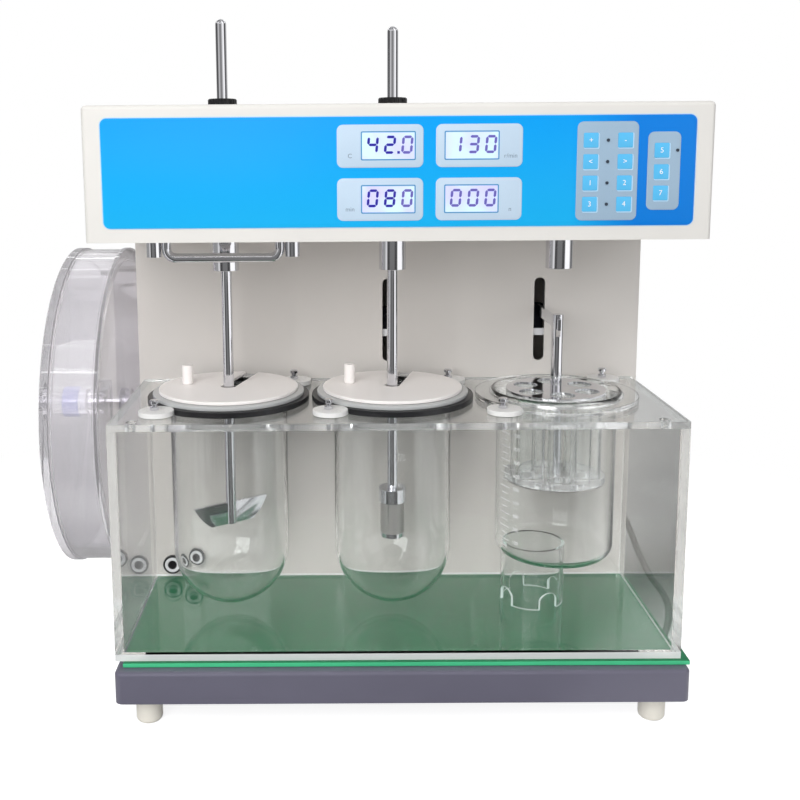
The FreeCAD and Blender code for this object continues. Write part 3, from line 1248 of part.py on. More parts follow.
os.makedirs("parts", exist_ok=True)
for thing in NODES:
    thing.Shape.exportStep(f"parts/{thing.Label}.step")
print(len(NODES), "nodes written")
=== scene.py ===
"""Tablet disintegration tester: its looks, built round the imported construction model.

Sizes are millimetres where a name or a docstring says so and metres where the frame gives them.
"""

import json
import logging
import math
from collections.abc import Callable, Iterable, Sequence
from dataclasses import dataclass, replace
from enum import Enum

import bmesh
import bpy
from mathutils import Matrix, Vector

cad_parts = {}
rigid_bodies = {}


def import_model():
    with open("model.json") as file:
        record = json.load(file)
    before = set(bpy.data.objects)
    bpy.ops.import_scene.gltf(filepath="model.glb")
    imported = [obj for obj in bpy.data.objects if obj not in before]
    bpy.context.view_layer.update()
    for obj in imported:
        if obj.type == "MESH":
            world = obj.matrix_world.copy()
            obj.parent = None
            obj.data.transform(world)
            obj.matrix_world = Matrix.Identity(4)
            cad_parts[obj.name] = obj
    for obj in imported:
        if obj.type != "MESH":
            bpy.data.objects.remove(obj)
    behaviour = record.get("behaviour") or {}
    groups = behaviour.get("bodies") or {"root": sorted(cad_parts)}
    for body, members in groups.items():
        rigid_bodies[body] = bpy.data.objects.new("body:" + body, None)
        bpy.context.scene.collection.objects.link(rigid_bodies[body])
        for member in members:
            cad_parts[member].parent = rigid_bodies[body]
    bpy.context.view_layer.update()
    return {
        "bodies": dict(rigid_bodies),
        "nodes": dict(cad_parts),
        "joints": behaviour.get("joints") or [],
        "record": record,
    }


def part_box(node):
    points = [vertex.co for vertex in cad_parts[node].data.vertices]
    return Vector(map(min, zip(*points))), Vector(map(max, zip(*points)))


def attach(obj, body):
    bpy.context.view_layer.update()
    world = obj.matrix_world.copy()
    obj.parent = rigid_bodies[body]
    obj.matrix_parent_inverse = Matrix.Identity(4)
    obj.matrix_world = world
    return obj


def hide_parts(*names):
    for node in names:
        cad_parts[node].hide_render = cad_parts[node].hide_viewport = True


LOG = logging.getLogger("tester")
MM = 0.001
SMOOTH_ANGLE = math.radians(32)
EDGE_ANGLE = math.radians(50)
FLAT_ANGLE = math.radians(0.4)
AIR_GAP = 0.06 * MM
WELD = 1e-6
TOUCH = 1e-7
FACING = 0.9
ASLANT = 0.5
UPRIGHT = (0, 0, 1)
SIDEWAYS = (1, 0, 0)
WHITE = (1.0, 1.0, 1.0)
PATTERN_MIDDLE = (0.3, 0.7)
LETTER_SHARE = 1.4
Pair = tuple[float, float]
Point = tuple[float, float, float]
Colour = tuple[float, float, float]
Mesh = bmesh.types.BMesh
Socket = bpy.types.NodeSocket


def srgb(text: str) -> Colour:
    """Turn a screen colour of six hexadecimal digits into the linear values that shaders take."""
    values = [int(text[i:i + 2], 16) / 255 for i in (0, 2, 4)]
    return tuple(v / 12.92 if v <= 0.04045 else ((v + 0.055) / 1.055) ** 2.4 for v in values)


class Axis(Enum):
    """The direction of a turned piece's own axis."""

    Y = "y"
    Z = "z"

    def turn(self) -> Matrix:
        """Give the rotation that lays the Z axis along this one."""
        return Matrix.Rotation(-math.pi / 2, 4, "X") if self is Axis.Y else Matrix.Identity(4)


class Edge(float, Enum):
    """How far a piece's sharp edges are rounded, in metres."""

    SHARP = 0.0
    HAIRLINE = 0.0001
    FINE = 0.0003
    SLIGHT = 0.0004
    SOFT = 0.0006
    FULL = 0.0008


# ---------------------------------------------------------------------------------------- finishes
class Graph:
    """A shorthand for wiring the nodes of a material or of the world."""

    def __init__(self, owner: bpy.types.Material | bpy.types.World, output: str = "OutputMaterial") -> None:
        """Clear the nodes and start with an output and coordinates.

        Args:
            owner: The material or the world.
            output: The kind of its output node.
        """
        owner.use_nodes = True
        self.owner = owner
        self.tree = owner.node_tree
        self.tree.nodes.clear()
        self.output = self.node(output)
        coordinates = self.node("TexCoord").outputs
        self.place, self.heading = coordinates["Object"], coordinates["Generated"]

    def node(self, kind: str, *values: object, **named: object) -> bpy.types.Node:
        """Add a node.

        Args:
            kind: Its type, without the word that all of them start with.
            values: What feeds its inputs, in their order.
            named: What feeds the inputs of these names, or in lower case a setting of the node.

        Returns:
            The new node.
        """
        made = self.tree.nodes.new(f"ShaderNode{kind}")
        for name, value in named.items():
            if name.islower():
                setattr(made, name, value)
            else:
                self.feed(made.inputs[name], value)
        for socket, value in zip(made.inputs, values):
            self.feed(socket, value)
        return made

    def feed(self, socket: Socket, value: object) -> None:
        """Link a socket to another, or set its value.

        Args:
            socket: The input.
            value: An output socket or a plain value.
        """
        if isinstance(value, bpy.types.NodeSocket):
            self.tree.links.new(value, socket)
        elif isinstance(value, tuple) and len(value) == 3 and socket.type == "RGBA":
            socket.default_value = (*value, 1)
        else:
            socket.default_value = value

    def shader(self, kind: str, **inputs: object) -> Socket:
        """Add a shader with its inputs."""
        return self.node(kind, **inputs).outputs[0]

    def math(self, operation: str, *values: object) -> Socket:
        """Reckon with sockets or numbers."""
        return self.node("Math", *values, operation=operation).outputs[0]

    def scaled(self, value: Socket, start: float, end: float, low: float, high: float,
               **settings: str) -> Socket:
        """Carry a value's range from start to end over to one from low to high."""
        return self.node("MapRange", value, start, end, low, high, **settings).outputs[0]

    def parts(self, vector: Socket) -> Sequence[Socket]:
        """Give a vector's three numbers."""
        return self.node("SeparateXYZ", vector).outputs

    def mixed(self, share: Socket, first: Socket, second: Socket) -> Socket:
        """Mix two shaders, by how much there is of the second."""
        return self.node("MixShader", share, first, second).outputs[0]

    def blend(self, share: Socket, first: object, second: object) -> Socket:
        """Mix two colours.

        Args:
            share: How much of the second.
            first: A colour or socket.
            second: A colour or socket.

        Returns:
            The mixed colour.
        """
        made = self.node("Mix", data_type="RGBA")
        for index, value in ((0, share), (6, first), (7, second)):
            self.feed(made.inputs[index], value)
        return made.outputs[2]

    def ramp(self, value: Socket, start: float, end: float, stops: Sequence[Pair]) -> Socket:
        """Read a number off a row of grey levels.

        Args:
            value: Where on the row to read.
            start: The value at the row's start.
            end: The value at its end.
            stops: Values and their levels.

        Returns:
            The level.
        """
        made = self.node("ValToRGB", self.scaled(value, start, end, 0, 1))
        row = made.color_ramp.elements
        row.remove(row[-1])
        for index, (place, level) in enumerate(stops):
            position = (place - start) / (end - start)
            stop = row.new(position) if index else row[0]
            stop.position = position
            stop.color = (level, level, level, 1)
        return made.outputs[0]

    def rays(self, *kinds: str) -> Socket:
        """Tell some kinds of rays from the others.

        Args:
            kinds: One or two kinds of rays.

        Returns:
            One for such a ray, and zero for others.
        """
        path = self.node("LightPath").outputs
        chosen = [path[f"Is {kind} Ray"] for kind in kinds]
        return self.math("MAXIMUM", *chosen) if len(chosen) > 1 else chosen[0]

    def noise(self, scale: float, detail: float = 3, stretch: Point = (1, 1, 1)) -> Socket:
        """Make a pattern of so many cells to the metre, squeezed along each axis."""
        place = self.node("Mapping", Vector=self.place, Scale=stretch).outputs[0]
        return self.node("TexNoise", Vector=place, Scale=scale, Detail=detail).outputs[0]

    def span(self, pattern: Socket, low: float, high: float) -> Socket:
        """Stretch the middle part of a pattern, where nearly all of it lies, over a range."""
        return self.scaled(pattern, *PATTERN_MIDDLE, low, high)

    def bump(self, height: Socket, depth: float) -> Socket:
        """Turn a height of this depth, in metres, into a surface normal."""
        return self.node("Bump", Height=height, Strength=1.0, Distance=depth).outputs[0]

    def finish(self, shader: Socket) -> bpy.types.Material | bpy.types.World:
        """Wire the surface, and give the finished material or world."""
        self.tree.links.new(shader, self.output.inputs["Surface"])
        return self.owner


@dataclass(frozen=True)
class Finish:
    """A surface that is lacquered, moulded or rubbery, with its own fine grain.

    Grain and patch are cells to the metre; wander is how much the roughness varies, and mottle the colour.
    """

    name: str
    colour: Colour
    roughness: float = 0.4
    grain: float = 900.0
    depth: float = 0.00003
    mottle: float = 0.06
    wander: float = 0.08
    specular: float = 0.5
    metallic: float = 0.0
    patch: float = 14.0
    detail: float = 3
    brush: Point = (1, 1, 1)

    def material(self) -> bpy.types.Material:
        """Give this finish's material, made once.

        Returns:
            The material.
        """
        made = bpy.data.materials.get(self.name)
        if not made:
            graph = Graph(bpy.data.materials.new(self.name))
            made = graph.finish(graph.shader("BsdfPrincipled", **self.inputs(graph)))
        return made

    def inputs(self, graph: Graph) -> dict[str, object]:
        """Wire what feeds the shader, by the names of its inputs."""
        pattern = graph.noise(self.grain, self.detail, self.brush)
        return self.grained(graph, self.mottled(graph), pattern)

    def grained(self, graph: Graph, colour: Socket, pattern: Socket) -> dict[str, object]:
        """Give the inputs of a surface whose gloss and height follow a fine pattern.

        Args:
            graph: The material's nodes.
            colour: Its colour.
            pattern: The pattern.

        Returns:
            What feeds the shader's inputs.
        """
        gloss = graph.span(pattern, self.roughness - self.wander / 2, self.roughness + self.wander / 2)
        return {"Base Color": colour, "Roughness": gloss, "Normal": graph.bump(pattern, self.depth),
                "Metallic": self.metallic, "Specular IOR Level": self.specular}

    def mottled(self, graph: Graph, detail: float = 2) -> Socket:
        """Darken the colour a little in broad patches."""
        darker = tuple(value * (1 - self.mottle) for value in self.colour)
        return graph.blend(graph.span(graph.noise(self.patch, detail), 0, 1), self.colour, darker)


@dataclass(frozen=True)
class Metal(Finish):
    """Polished or brushed metal, with fine lines along or round it."""

    metallic: float = 1.0
    patch: float = 30.0
    detail: float = 4


@dataclass(frozen=True)
class Clear(Finish):
    """Clear glass or acrylic."""

    patch: float = 25.0
    index: float = 1.49
    clearness: float = 1.0

    def inputs(self, graph: Graph) -> dict[str, object]:
        """Wire gentle waves, and smears that dull the surface here and there."""
        return self.see_through(graph, graph.noise(self.grain, 2), graph.noise(self.patch, 3))

    def see_through(self, graph: Graph, waves: Socket, smears: Socket) -> dict[str, object]:
        """Give the inputs of a see-through surface.

        Args:
            graph: The material's nodes.
            waves: The pattern of its height.
            smears: The pattern of its roughness.

        Returns:
            What feeds the shader's inputs.
        """
        gloss = graph.span(smears, self.roughness, self.roughness + self.wander)
        return {"Base Color": self.colour, "Transmission Weight": self.clearness, "IOR": self.index,
                "Roughness": gloss, "Normal": graph.bump(waves, self.depth)}


@dataclass(frozen=True)
class Frosted(Clear):
    """A sawn or ground face of clear stock, which scatters some of the light."""

    clearness: float = 0.5

    def inputs(self, graph: Graph) -> dict[str, object]:
        """Wire fine saw marks."""
        marks = graph.noise(self.grain, 3)
        return self.see_through(graph, marks, marks)


@dataclass(frozen=True)
class Lit(Finish):
    """A lit display, in clouds of two colours."""

    patch: float = 38.0
    strength: float = 1.0
    second: Colour = WHITE

    def inputs(self, graph: Graph) -> dict[str, object]:
        """Wire the glow."""
        colour = graph.blend(graph.span(graph.noise(self.patch, 1), 0, 1), self.colour, self.second)
        return {"Base Color": colour, "Roughness": self.roughness, "Emission Color": colour,
                "Emission Strength": self.strength}


@dataclass(frozen=True)
class Film(Finish):
    """A panel film: blue that lightens towards the bottom and deepens at the far side.

    It deepens between two shares of the half width, from the middle.
    """

    wander: float = 0.1
    centre: Point = (0, 0, 0)
    half: Point = (1, 1, 1)
    light: Colour = (0.0, 0.0, 0.0)
    deep: Colour = (0.0, 0.0, 0.0)
    deepening: Pair = (0.58, 0.8)

    def inputs(self, graph: Graph) -> dict[str, object]:
        """Wire the film's colours, lighter towards the bottom and deeper at the far side.

        Args:
            graph: The material's nodes.

        Returns:
            What feeds the shader's inputs.
        """
        across, _, up = graph.parts(graph.place)
        low, high = self.centre[2] - self.half[2], self.centre[2] + self.half[2]
        start, end = (self.centre[0] + self.half[0] * share for share in self.deepening)
        colour = graph.blend(graph.scaled(up, low, high, 1, 0), self.colour, self.light)
        colour = graph.blend(graph.scaled(across, start, end, 0, 1), colour, self.deep)
        return self.grained(graph, colour, graph.noise(self.grain, 2))


@dataclass(frozen=True)
class Ribbed(Finish):
    """Rubber sheet with fine ribs from front to back."""

    patch: float = 20.0
    pitch: float = 0.003

    def inputs(self, graph: Graph) -> dict[str, object]:
        """Wire the ribs."""
        ribs = graph.bump(graph.math("PINGPONG", graph.parts(graph.place)[0], self.pitch / 2), self.depth)
        return {"Base Color": self.mottled(graph, 3), "Roughness": self.roughness, "Normal": ribs}


@dataclass(frozen=True)
class Woven(Finish):
    """Fine woven wire, laid flat or rolled round an upright axis.

    The holes fade into the wires between two shares of a wire's width. The holes are painted darker than the
    wires, painted shade for what is seen through them.
    """

    metallic: float = 0.7
    pitch: float = 0.0016
    centre: Pair | None = None
    radius: float = 0.0113
    open_share: float = 0.5
    fade: Pair = (0.5, 1.3)
    painted_hole_shade: float = 0.3

    def inputs(self, graph: Graph) -> dict[str, object]:
        """Wire the crossing wires.

        Args:
            graph: The material's nodes.

        Returns:
            What feeds the shader's inputs.
        """
        across, along, up = graph.parts(graph.place)
        if self.centre:
            out = [graph.math("SUBTRACT", place, middle)
                   for place, middle in zip((along, across), self.centre[::-1])]
            across, along = graph.math("MULTIPLY", graph.math("ARCTAN2", *out), self.radius), up
        wires = [graph.math("PINGPONG", graph.math(way, across, along), self.pitch / 2)
                 for way in ("ADD", "SUBTRACT")]
        start, end = (self.pitch / 2 * (1 - self.open_share) * share for share in self.fade)
        wire = graph.scaled(graph.math("MINIMUM", *wires), start, end, 1, 0)
        # The holes get the wire colour darkened: painted shade.
        dark = tuple(value * self.painted_hole_shade for value in self.colour)
        return {"Base Color": graph.blend(wire, dark, self.colour), "Metallic": self.metallic,
                "Roughness": self.roughness, "Normal": graph.bump(wire, self.depth)}


HEAD_ENAMEL = Finish("cream_enamel", srgb("E3E0DB"), 0.38, grain=700, depth=0.00002, mottle=0.03)
COLUMN_ENAMEL = Finish("warm_grey_enamel", srgb("E2DDD8"), 0.45, grain=700, depth=0.00002, mottle=0.03)
BASE_ENAMEL = Finish("slate_enamel", srgb("6A6878"), 0.42, grain=600, depth=0.00004, mottle=0.08)
FOOT_PLASTIC = Finish("ivory_plastic", srgb("FDF8EC"), 0.5)
MAT_RUBBER = Ribbed("green_rubber", srgb("117C4E"), 0.6, depth=0.0004, mottle=0.15)
# The mat's side faces get a lighter green than its top: a painted highlight of the sheet's lit edges.
MAT_SIDE_HIGHLIGHT = Finish("green_side_painted_highlight", srgb("4ED094"), 0.5, mottle=0.15)
PORT_PLASTIC = Finish("black_plastic", srgb("151518"), 0.32, mottle=0.2)
PUMP_PLASTIC = Finish("graphite_plastic", srgb("4A4A50"), 0.55)
GASKET_RUBBER = Finish("gasket_rubber", srgb("1A1A1D"), 0.35, grain=1500, depth=0.00005, mottle=0.2)
LID_PLASTIC = Finish("lid_plastic", srgb("FFFAF7"), 0.36, mottle=0.04)
CAM_PLASTIC = Finish("cam_plastic", srgb("F4F3F1"), 0.3, mottle=0.03)
STEEL = Metal("polished_steel", srgb("E4E4E8"), 0.07, grain=500, depth=0.000002, wander=0.05,
              brush=(1, 1, 12))
DARK_STEEL = Metal("machined_steel", srgb("9A9B9E"), 0.35, grain=500, depth=0.00001, brush=(1, 1, 8))
MESH_STEEL = Woven("woven_steel", srgb("CFCBC8"), 0.35, depth=0.0001)
# Near black: painted shade for the dark inside of the column's slot, where the carriage and its drive run.
SLOT_SHADE_STEEL = Metal("steel_darkened_as_slot_shade", srgb("1C1C20"), 0.5, grain=400, depth=0.00001)
CARRIAGE_BAR_WHITE = Finish("carriage_bar_white", srgb("F2F2F4"), 0.3)
PORT_WHITE = Finish("port_seal", srgb("E4E4E6"))
MOTOR_PAINT = Finish("black_paint", srgb("1E1E21"), 0.5)
BELT_RUBBER = Finish("belt_rubber", srgb("18181A"), 0.6)
KNOB_PLASTIC = Finish("knob_plastic", srgb("141416"), 0.35, mottle=0.2)
# The acrylic's grey tint is painted shade: it darkens what is seen through the tank and its pieces, for light
# that the walls would hold back, as clear pieces cast no shadow.
ACRYLIC = Clear("acrylic_with_painted_shade", (0.935, 0.942, 0.94), 0.0, grain=12, depth=0.00002, wander=0.02)
# The drum is clear acrylic; its lilac tint and its slight milky scatter are a painted reflection of the
# surroundings.
DRUM_ACRYLIC_PAINTED_REFLECTION = Frosted("drum_acrylic_painted_reflection", (0.95, 0.935, 0.96), 0.0, grain=12, depth=0.00002, wander=0.01,
                        clearness=0.88)
ACRYLIC_EDGE = Frosted("sawn_acrylic", (0.9, 0.915, 0.91), 0.12, grain=300, depth=0.000002, wander=0.06,
                       clearness=0.8)
FLOOR_EDGE = Frosted("white_edge", (0.93, 0.945, 0.94), 0.3, depth=0.00001, wander=0.15, clearness=0.3)
ARCH_EDGE = Frosted("cut_arch", (0.84, 0.97, 0.92), 0.3, depth=0.00001, wander=0.15, clearness=0.2)
GROUND_GLASS = Frosted("ground_glass", (0.93, 0.94, 0.94), 0.15, grain=300, depth=0.000001, wander=0.1,
                       clearness=0.45, index=1.47)
RACK_ACRYLIC = Frosted("rack_acrylic", (0.95, 0.955, 0.955), 0.02, grain=300, depth=0.000002, wander=0.05,
                       clearness=0.84)
GLASS = Clear("clear_glass", (0.99, 0.996, 0.993), 0.0, grain=18, depth=0.00004, wander=0.01, index=1.47)
INK_WHITE = Finish("white_ink", srgb("F7F7F7"), 0.5)
INK_GREY = Finish("grey_ink", srgb("6E8296"), 0.5)
BLUE_FILM = Film("panel_film", srgb("029BEB"), 0.32, grain=1500, depth=0.00001, specular=0.2,
                 light=srgb("18B1EE"), deep=srgb("027BD9"))
SURROUND_PRINT = Finish("silver_print", srgb("C2D6E8"), 0.3, mottle=0.05, specular=0.3)
FIELD_PRINT = Finish("grey_print", srgb("9FB8CD"), 0.3, specular=0.3)
WINDOW_PRINT = Finish("window_blue", srgb("4A94C8"), 0.3)
KEY_PRINT = Finish("key_blue", srgb("1F86DA"), 0.28, mottle=0.08)
KEY_RIM = Finish("key_light", srgb("B9DDF6"), 0.3)
LAMP_PLASTIC = Finish("dark_lamp", srgb("38404C"), 0.2)
SCREEN = Lit("lit_screen", srgb("CFCDF8"), 0.3, strength=0.12, second=srgb("D2F2FC"))
DIGIT = Finish("display_ink", srgb("241A9E"))
PALE_DIGIT = Finish("pale_display_ink", srgb("6A62B8"))
BAND_BLUE = Finish("band_blue", srgb("3A50C0"), 0.3)
KNOB_CLEAR = Finish("milky_knob", srgb("D4D6E2"), 0.25)
CORD_RUBBER = Finish("cord_rubber", srgb("2B2B2E"), 0.55, grain=2000)
BRASS = Metal("plug_brass", srgb("D8C27A"), 0.25, grain=500, depth=0.00001)


# ------------------------------------------------------------------------------------- mesh tools
def arc(centre: Pair, radius: float, start: float, end: float, steps: int) -> list[Pair]:
    """Give the points of an arc of so many chords, ends included, from one angle to another in degrees."""
    angles = [math.radians(start + (end - start) * index / steps) for index in range(steps + 1)]
    return [(centre[0] + radius * math.cos(a), centre[1] + radius * math.sin(a)) for a in angles]


def lathe(profile: Sequence[Pair], at: Point, axis: Axis = Axis.Z, steps: int = 128,
          ring: bool = False) -> Mesh:
    """Spin a half profile about its axis.

    Args:
        profile: Radius and height of each corner, in millimetres.
        at: Where the axis starts, in metres.
        axis: Which way it points.
        steps: Facets round the piece.
        ring: True where the profile is closed and keeps off the axis.

    Returns:
        The mesh.
    """
    mesh = bmesh.new()
    points = [mesh.verts.new((radius * MM, 0, height * MM)) for radius, height in profile]
    lines = [mesh.edges.new(pair) for pair in zip(points, points[1:])]
    if ring:
        lines.append(mesh.edges.new((points[-1], points[0])))
    bmesh.ops.spin(mesh, geom=points + lines, cent=(0, 0, 0), axis=UPRIGHT, dvec=(0, 0, 0), angle=math.tau,
                   steps=steps, use_merge=True)
    bmesh.ops.remove_doubles(mesh, verts=mesh.verts, dist=WELD)
    bmesh.ops.dissolve_degenerate(mesh, edges=mesh.edges, dist=TOUCH)
    bmesh.ops.recalc_face_normals(mesh, faces=mesh.faces)
    bmesh.ops.transform(mesh, matrix=Matrix.Translation(at) @ axis.turn(), verts=mesh.verts)
    return mesh


def slab(low: Sequence[float], high: Sequence[float]) -> Mesh:
    """Make a block.

    Args:
        low: Lowest corner, in metres.
        high: Highest corner, in metres.

    Returns:
        The mesh.
    """
    mesh = bmesh.new()
    bmesh.ops.create_cube(mesh, size=1)
    bmesh.ops.scale(mesh, vec=[top - bottom for bottom, top in zip(low, high)], verts=mesh.verts)
    bmesh.ops.translate(mesh, vec=[(top + bottom) / 2 for bottom, top in zip(low, high)], verts=mesh.verts)
    return mesh


def rounded(mesh: Mesh, edges: list[bmesh.types.BMEdge], radius: float, segments: int) -> None:
    """Round some edges of a mesh, by a radius in metres."""
    bmesh.ops.bevel(mesh, geom=edges, offset=radius, offset_type="OFFSET", affect="EDGES", segments=segments,
                    profile=0.5, material=-1)


def card(low: Sequence[float], high: Sequence[float], corner: float, rim: float = 0.0) -> Mesh:
    """Make a thin card that faces the front, with rounded corners.

    Args:
        low: Lowest corner, in metres.
        high: Highest corner, in metres.
        corner: Radius of its corners, in metres.
        rim: Radius of its front edge, in metres.

    Returns:
        The mesh.
    """
    mesh = slab(low, high)
    through = [edge for edge in mesh.edges
               if abs((edge.verts[0].co - edge.verts[1].co).normalized().y) > FACING]
    rounded(mesh, through, corner, 8)
    if rim:
        front = [edge for edge in mesh.edges if all(abs(vert.co.y - low[1]) < TOUCH for vert in edge.verts)]
        rounded(mesh, front, rim, 2)
    return mesh


def thicken(mesh: Mesh, faces: Iterable[bmesh.types.BMFace]) -> list[bmesh.types.BMVert]:
    """Draw flat faces out to a solid, and give the corners that are to be moved off."""
    drawn = bmesh.ops.extrude_face_region(mesh, geom=list(faces))["geom"]
    return [item for item in drawn if isinstance(item, bmesh.types.BMVert)]


def merged(meshes: Iterable[Mesh]) -> Mesh:
    """Gather several meshes in one, and free them.

    Args:
        meshes: The meshes.

    Returns:
        One mesh with all their faces.
    """
    whole = bmesh.new()
    for mesh in meshes:
        part = bpy.data.meshes.new("part")
        mesh.to_mesh(part)
        mesh.free()
        whole.from_mesh(part)
        bpy.data.meshes.remove(part)
    return whole


def swept(points: Sequence[Point], radius: float, name: str) -> bpy.types.Curve:
    """Make a round rod along a smooth line.

    Args:
        points: Control points, in metres.
        radius: The rod's radius, in metres.
        name: The curve's name.

    Returns:
        The curve.
    """
    curve = bpy.data.curves.new(name, "CURVE")
    curve.dimensions = "3D"
    curve.bevel_depth = radius
    curve.bevel_resolution = 6
    curve.use_fill_caps = True
    spline = curve.splines.new("NURBS")
    spline.points.add(len(points) - 1)
    for point, place in zip(spline.points, points):
        point.co = (*place, 1)
    spline.order_u = 3
    spline.use_endpoint_u = True
    spline.resolution_u = 8
    return curve


def lettering(text: str, size: float) -> Mesh:
    """Set a short text flat on the ground plane, centred.

    Args:
        text: What it says.
        size: Its letter height, in millimetres.

    Returns:
        The mesh.
    """
    curve = bpy.data.curves.new("lettering", "FONT")
    curve.body = text
    curve.size = size * MM * LETTER_SHARE
    curve.align_x = "CENTER"
    curve.align_y = "CENTER"
    holder = bpy.data.objects.new("lettering", curve)
    bpy.context.collection.objects.link(holder)
    bpy.context.view_layer.update()
    flat = bpy.data.meshes.new_from_object(holder.evaluated_get(bpy.context.evaluated_depsgraph_get()))
    bpy.data.objects.remove(holder)
    mesh = bmesh.new()
    mesh.from_mesh(flat)
    bpy.data.meshes.remove(flat)
    return mesh


def trim(made: bpy.types.Object, finish: Finish,
         chosen: Callable[[Vector, Vector], bool]) -> bpy.types.Object:
    """Give some of a piece's faces another finish.

    Args:
        made: The piece.
        finish: The finish of those faces.
        chosen: Says from a face's middle and its normal whether it is one of them.

    Returns:
        The piece.
    """
    made.data.materials.append(finish.material())
    last = len(made.data.materials) - 1
    for face in made.data.polygons:
        if chosen(face.center, face.normal):
            face.material_index = last
    return made


def piece(name: str, mesh: Mesh, finish: Finish, body: str, replaces: Sequence[str] = (),
          edge: Edge = Edge.SHARP) -> bpy.types.Object:
    """Turn a mesh into a finished piece of the object.

    Args:
        name: The piece's name.
        mesh: Its mesh, which is freed.
        finish: Its finish.
        body: The body that it moves with.
        replaces: The construction nodes that it stands for.
        edge: The rounding of its sharp edges.

    Returns:
        The object.
    """
    data = bpy.data.meshes.new(name)
    mesh.to_mesh(data)
    mesh.free()
    made = bpy.data.objects.new(name, data)
    bpy.context.collection.objects.link(made)
    data.materials.append(finish.material())
    data.polygons.foreach_set("use_smooth", [True] * len(data.polygons))
    data.set_sharp_from_angle(angle=SMOOTH_ANGLE)
    if edge:
        bevel = made.modifiers.new("rounded_edges", "BEVEL")
        bevel.width = edge.value
        bevel.segments = 2
        bevel.limit_method = "ANGLE"
        bevel.angle_limit = EDGE_ANGLE
        bevel.harden_normals = True
    if isinstance(finish, Clear):
        made.visible_shadow = False
    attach(made, body)
    if replaces:
        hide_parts(*replaces)
    LOG.info("%s: %d faces", name, len(data.polygons))
    return made


class Model:
    """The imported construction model, and what its nodes belong to."""

    def __init__(self, frame: dict) -> None:
        """Read which body and which slot each node has.

        Args:
            frame: What the frame loader gave.
        """
        record = frame["record"]
        self.nodes = frame["nodes"]
        self.bodies = {node: body for body, nodes in record["behaviour"]["bodies"].items() for node in nodes}
        self.slots = {row["node"]: row["material_slot"] for row in record["subparts"]}

    def corners(self, node: str) -> tuple[Vector, Vector]:
        """Give a node's lowest and highest corners."""
        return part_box(node)

    def middle(self, node: str) -> Vector:
        """Give the middle of a node's box."""
        low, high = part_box(node)
        return (low + high) / 2

    def refined(self, node: str, finish: Finish, edge: Edge = Edge.SHARP,
                cuts: Sequence[tuple[Point, Point]] = ()) -> bpy.types.Object:
        """Dress a node by a clean copy of its mesh, merged and smooth.

        Clear pieces are drawn in by a hair, so that air stays between those that touch.

        Args:
            node: The construction node.
            finish: Its finish.
            edge: The rounding of its sharp edges.
            cuts: A point and a direction for each plane that divides its faces.

        Returns:
            The piece.
        """
        mesh = bmesh.new()
        mesh.from_mesh(self.nodes[node].data)
        bmesh.ops.remove_doubles(mesh, verts=mesh.verts, dist=2 * WELD)
        bmesh.ops.dissolve_limit(mesh, angle_limit=FLAT_ANGLE, verts=mesh.verts, edges=mesh.edges)
        if isinstance(finish, Clear):
            mesh.normal_update()
            for vert in mesh.verts:
                vert.co -= vert.normal * AIR_GAP
        for point, direction in cuts:
            everything = [*mesh.verts, *mesh.edges, *mesh.faces]
            bmesh.ops.bisect_plane(mesh, geom=everything, dist=TOUCH, plane_co=point, plane_no=direction)
        return self.add(f"{node}_dressed", mesh, finish, node, edge)

    def add(self, name: str, mesh: Mesh, finish: Finish, node: str, edge: Edge = Edge.SHARP,
            replace: bool = True) -> bpy.types.Object:
        """Make a piece with the body of a node, for which it stands where replace is true."""
        return piece(name, mesh, finish, self.bodies[node], [node] if replace else (), edge)


# ----------------------------------------------------------------------------------------- studio
@dataclass(frozen=True)
class Lamp:
    """A soft square lamp: its place and what it faces, its width in metres and its power in watts."""

    name: str
    at: Point
    aim: Point
    width: float
    power: float

    def hang(self) -> None:
        """Hang the lamp, where polished pieces don't mirror it."""
        data = bpy.data.lights.new(self.name, "AREA")
        data.shape = "SQUARE"
        data.size = self.width
        data.energy = self.power
        lamp = bpy.data.objects.new(self.name, data)
        lamp.location = self.at
        lamp.rotation_euler = (Vector(self.aim) - Vector(self.at)).to_track_quat("-Z", "Y").to_euler()
        lamp.visible_glossy = False
        bpy.context.collection.objects.link(lamp)


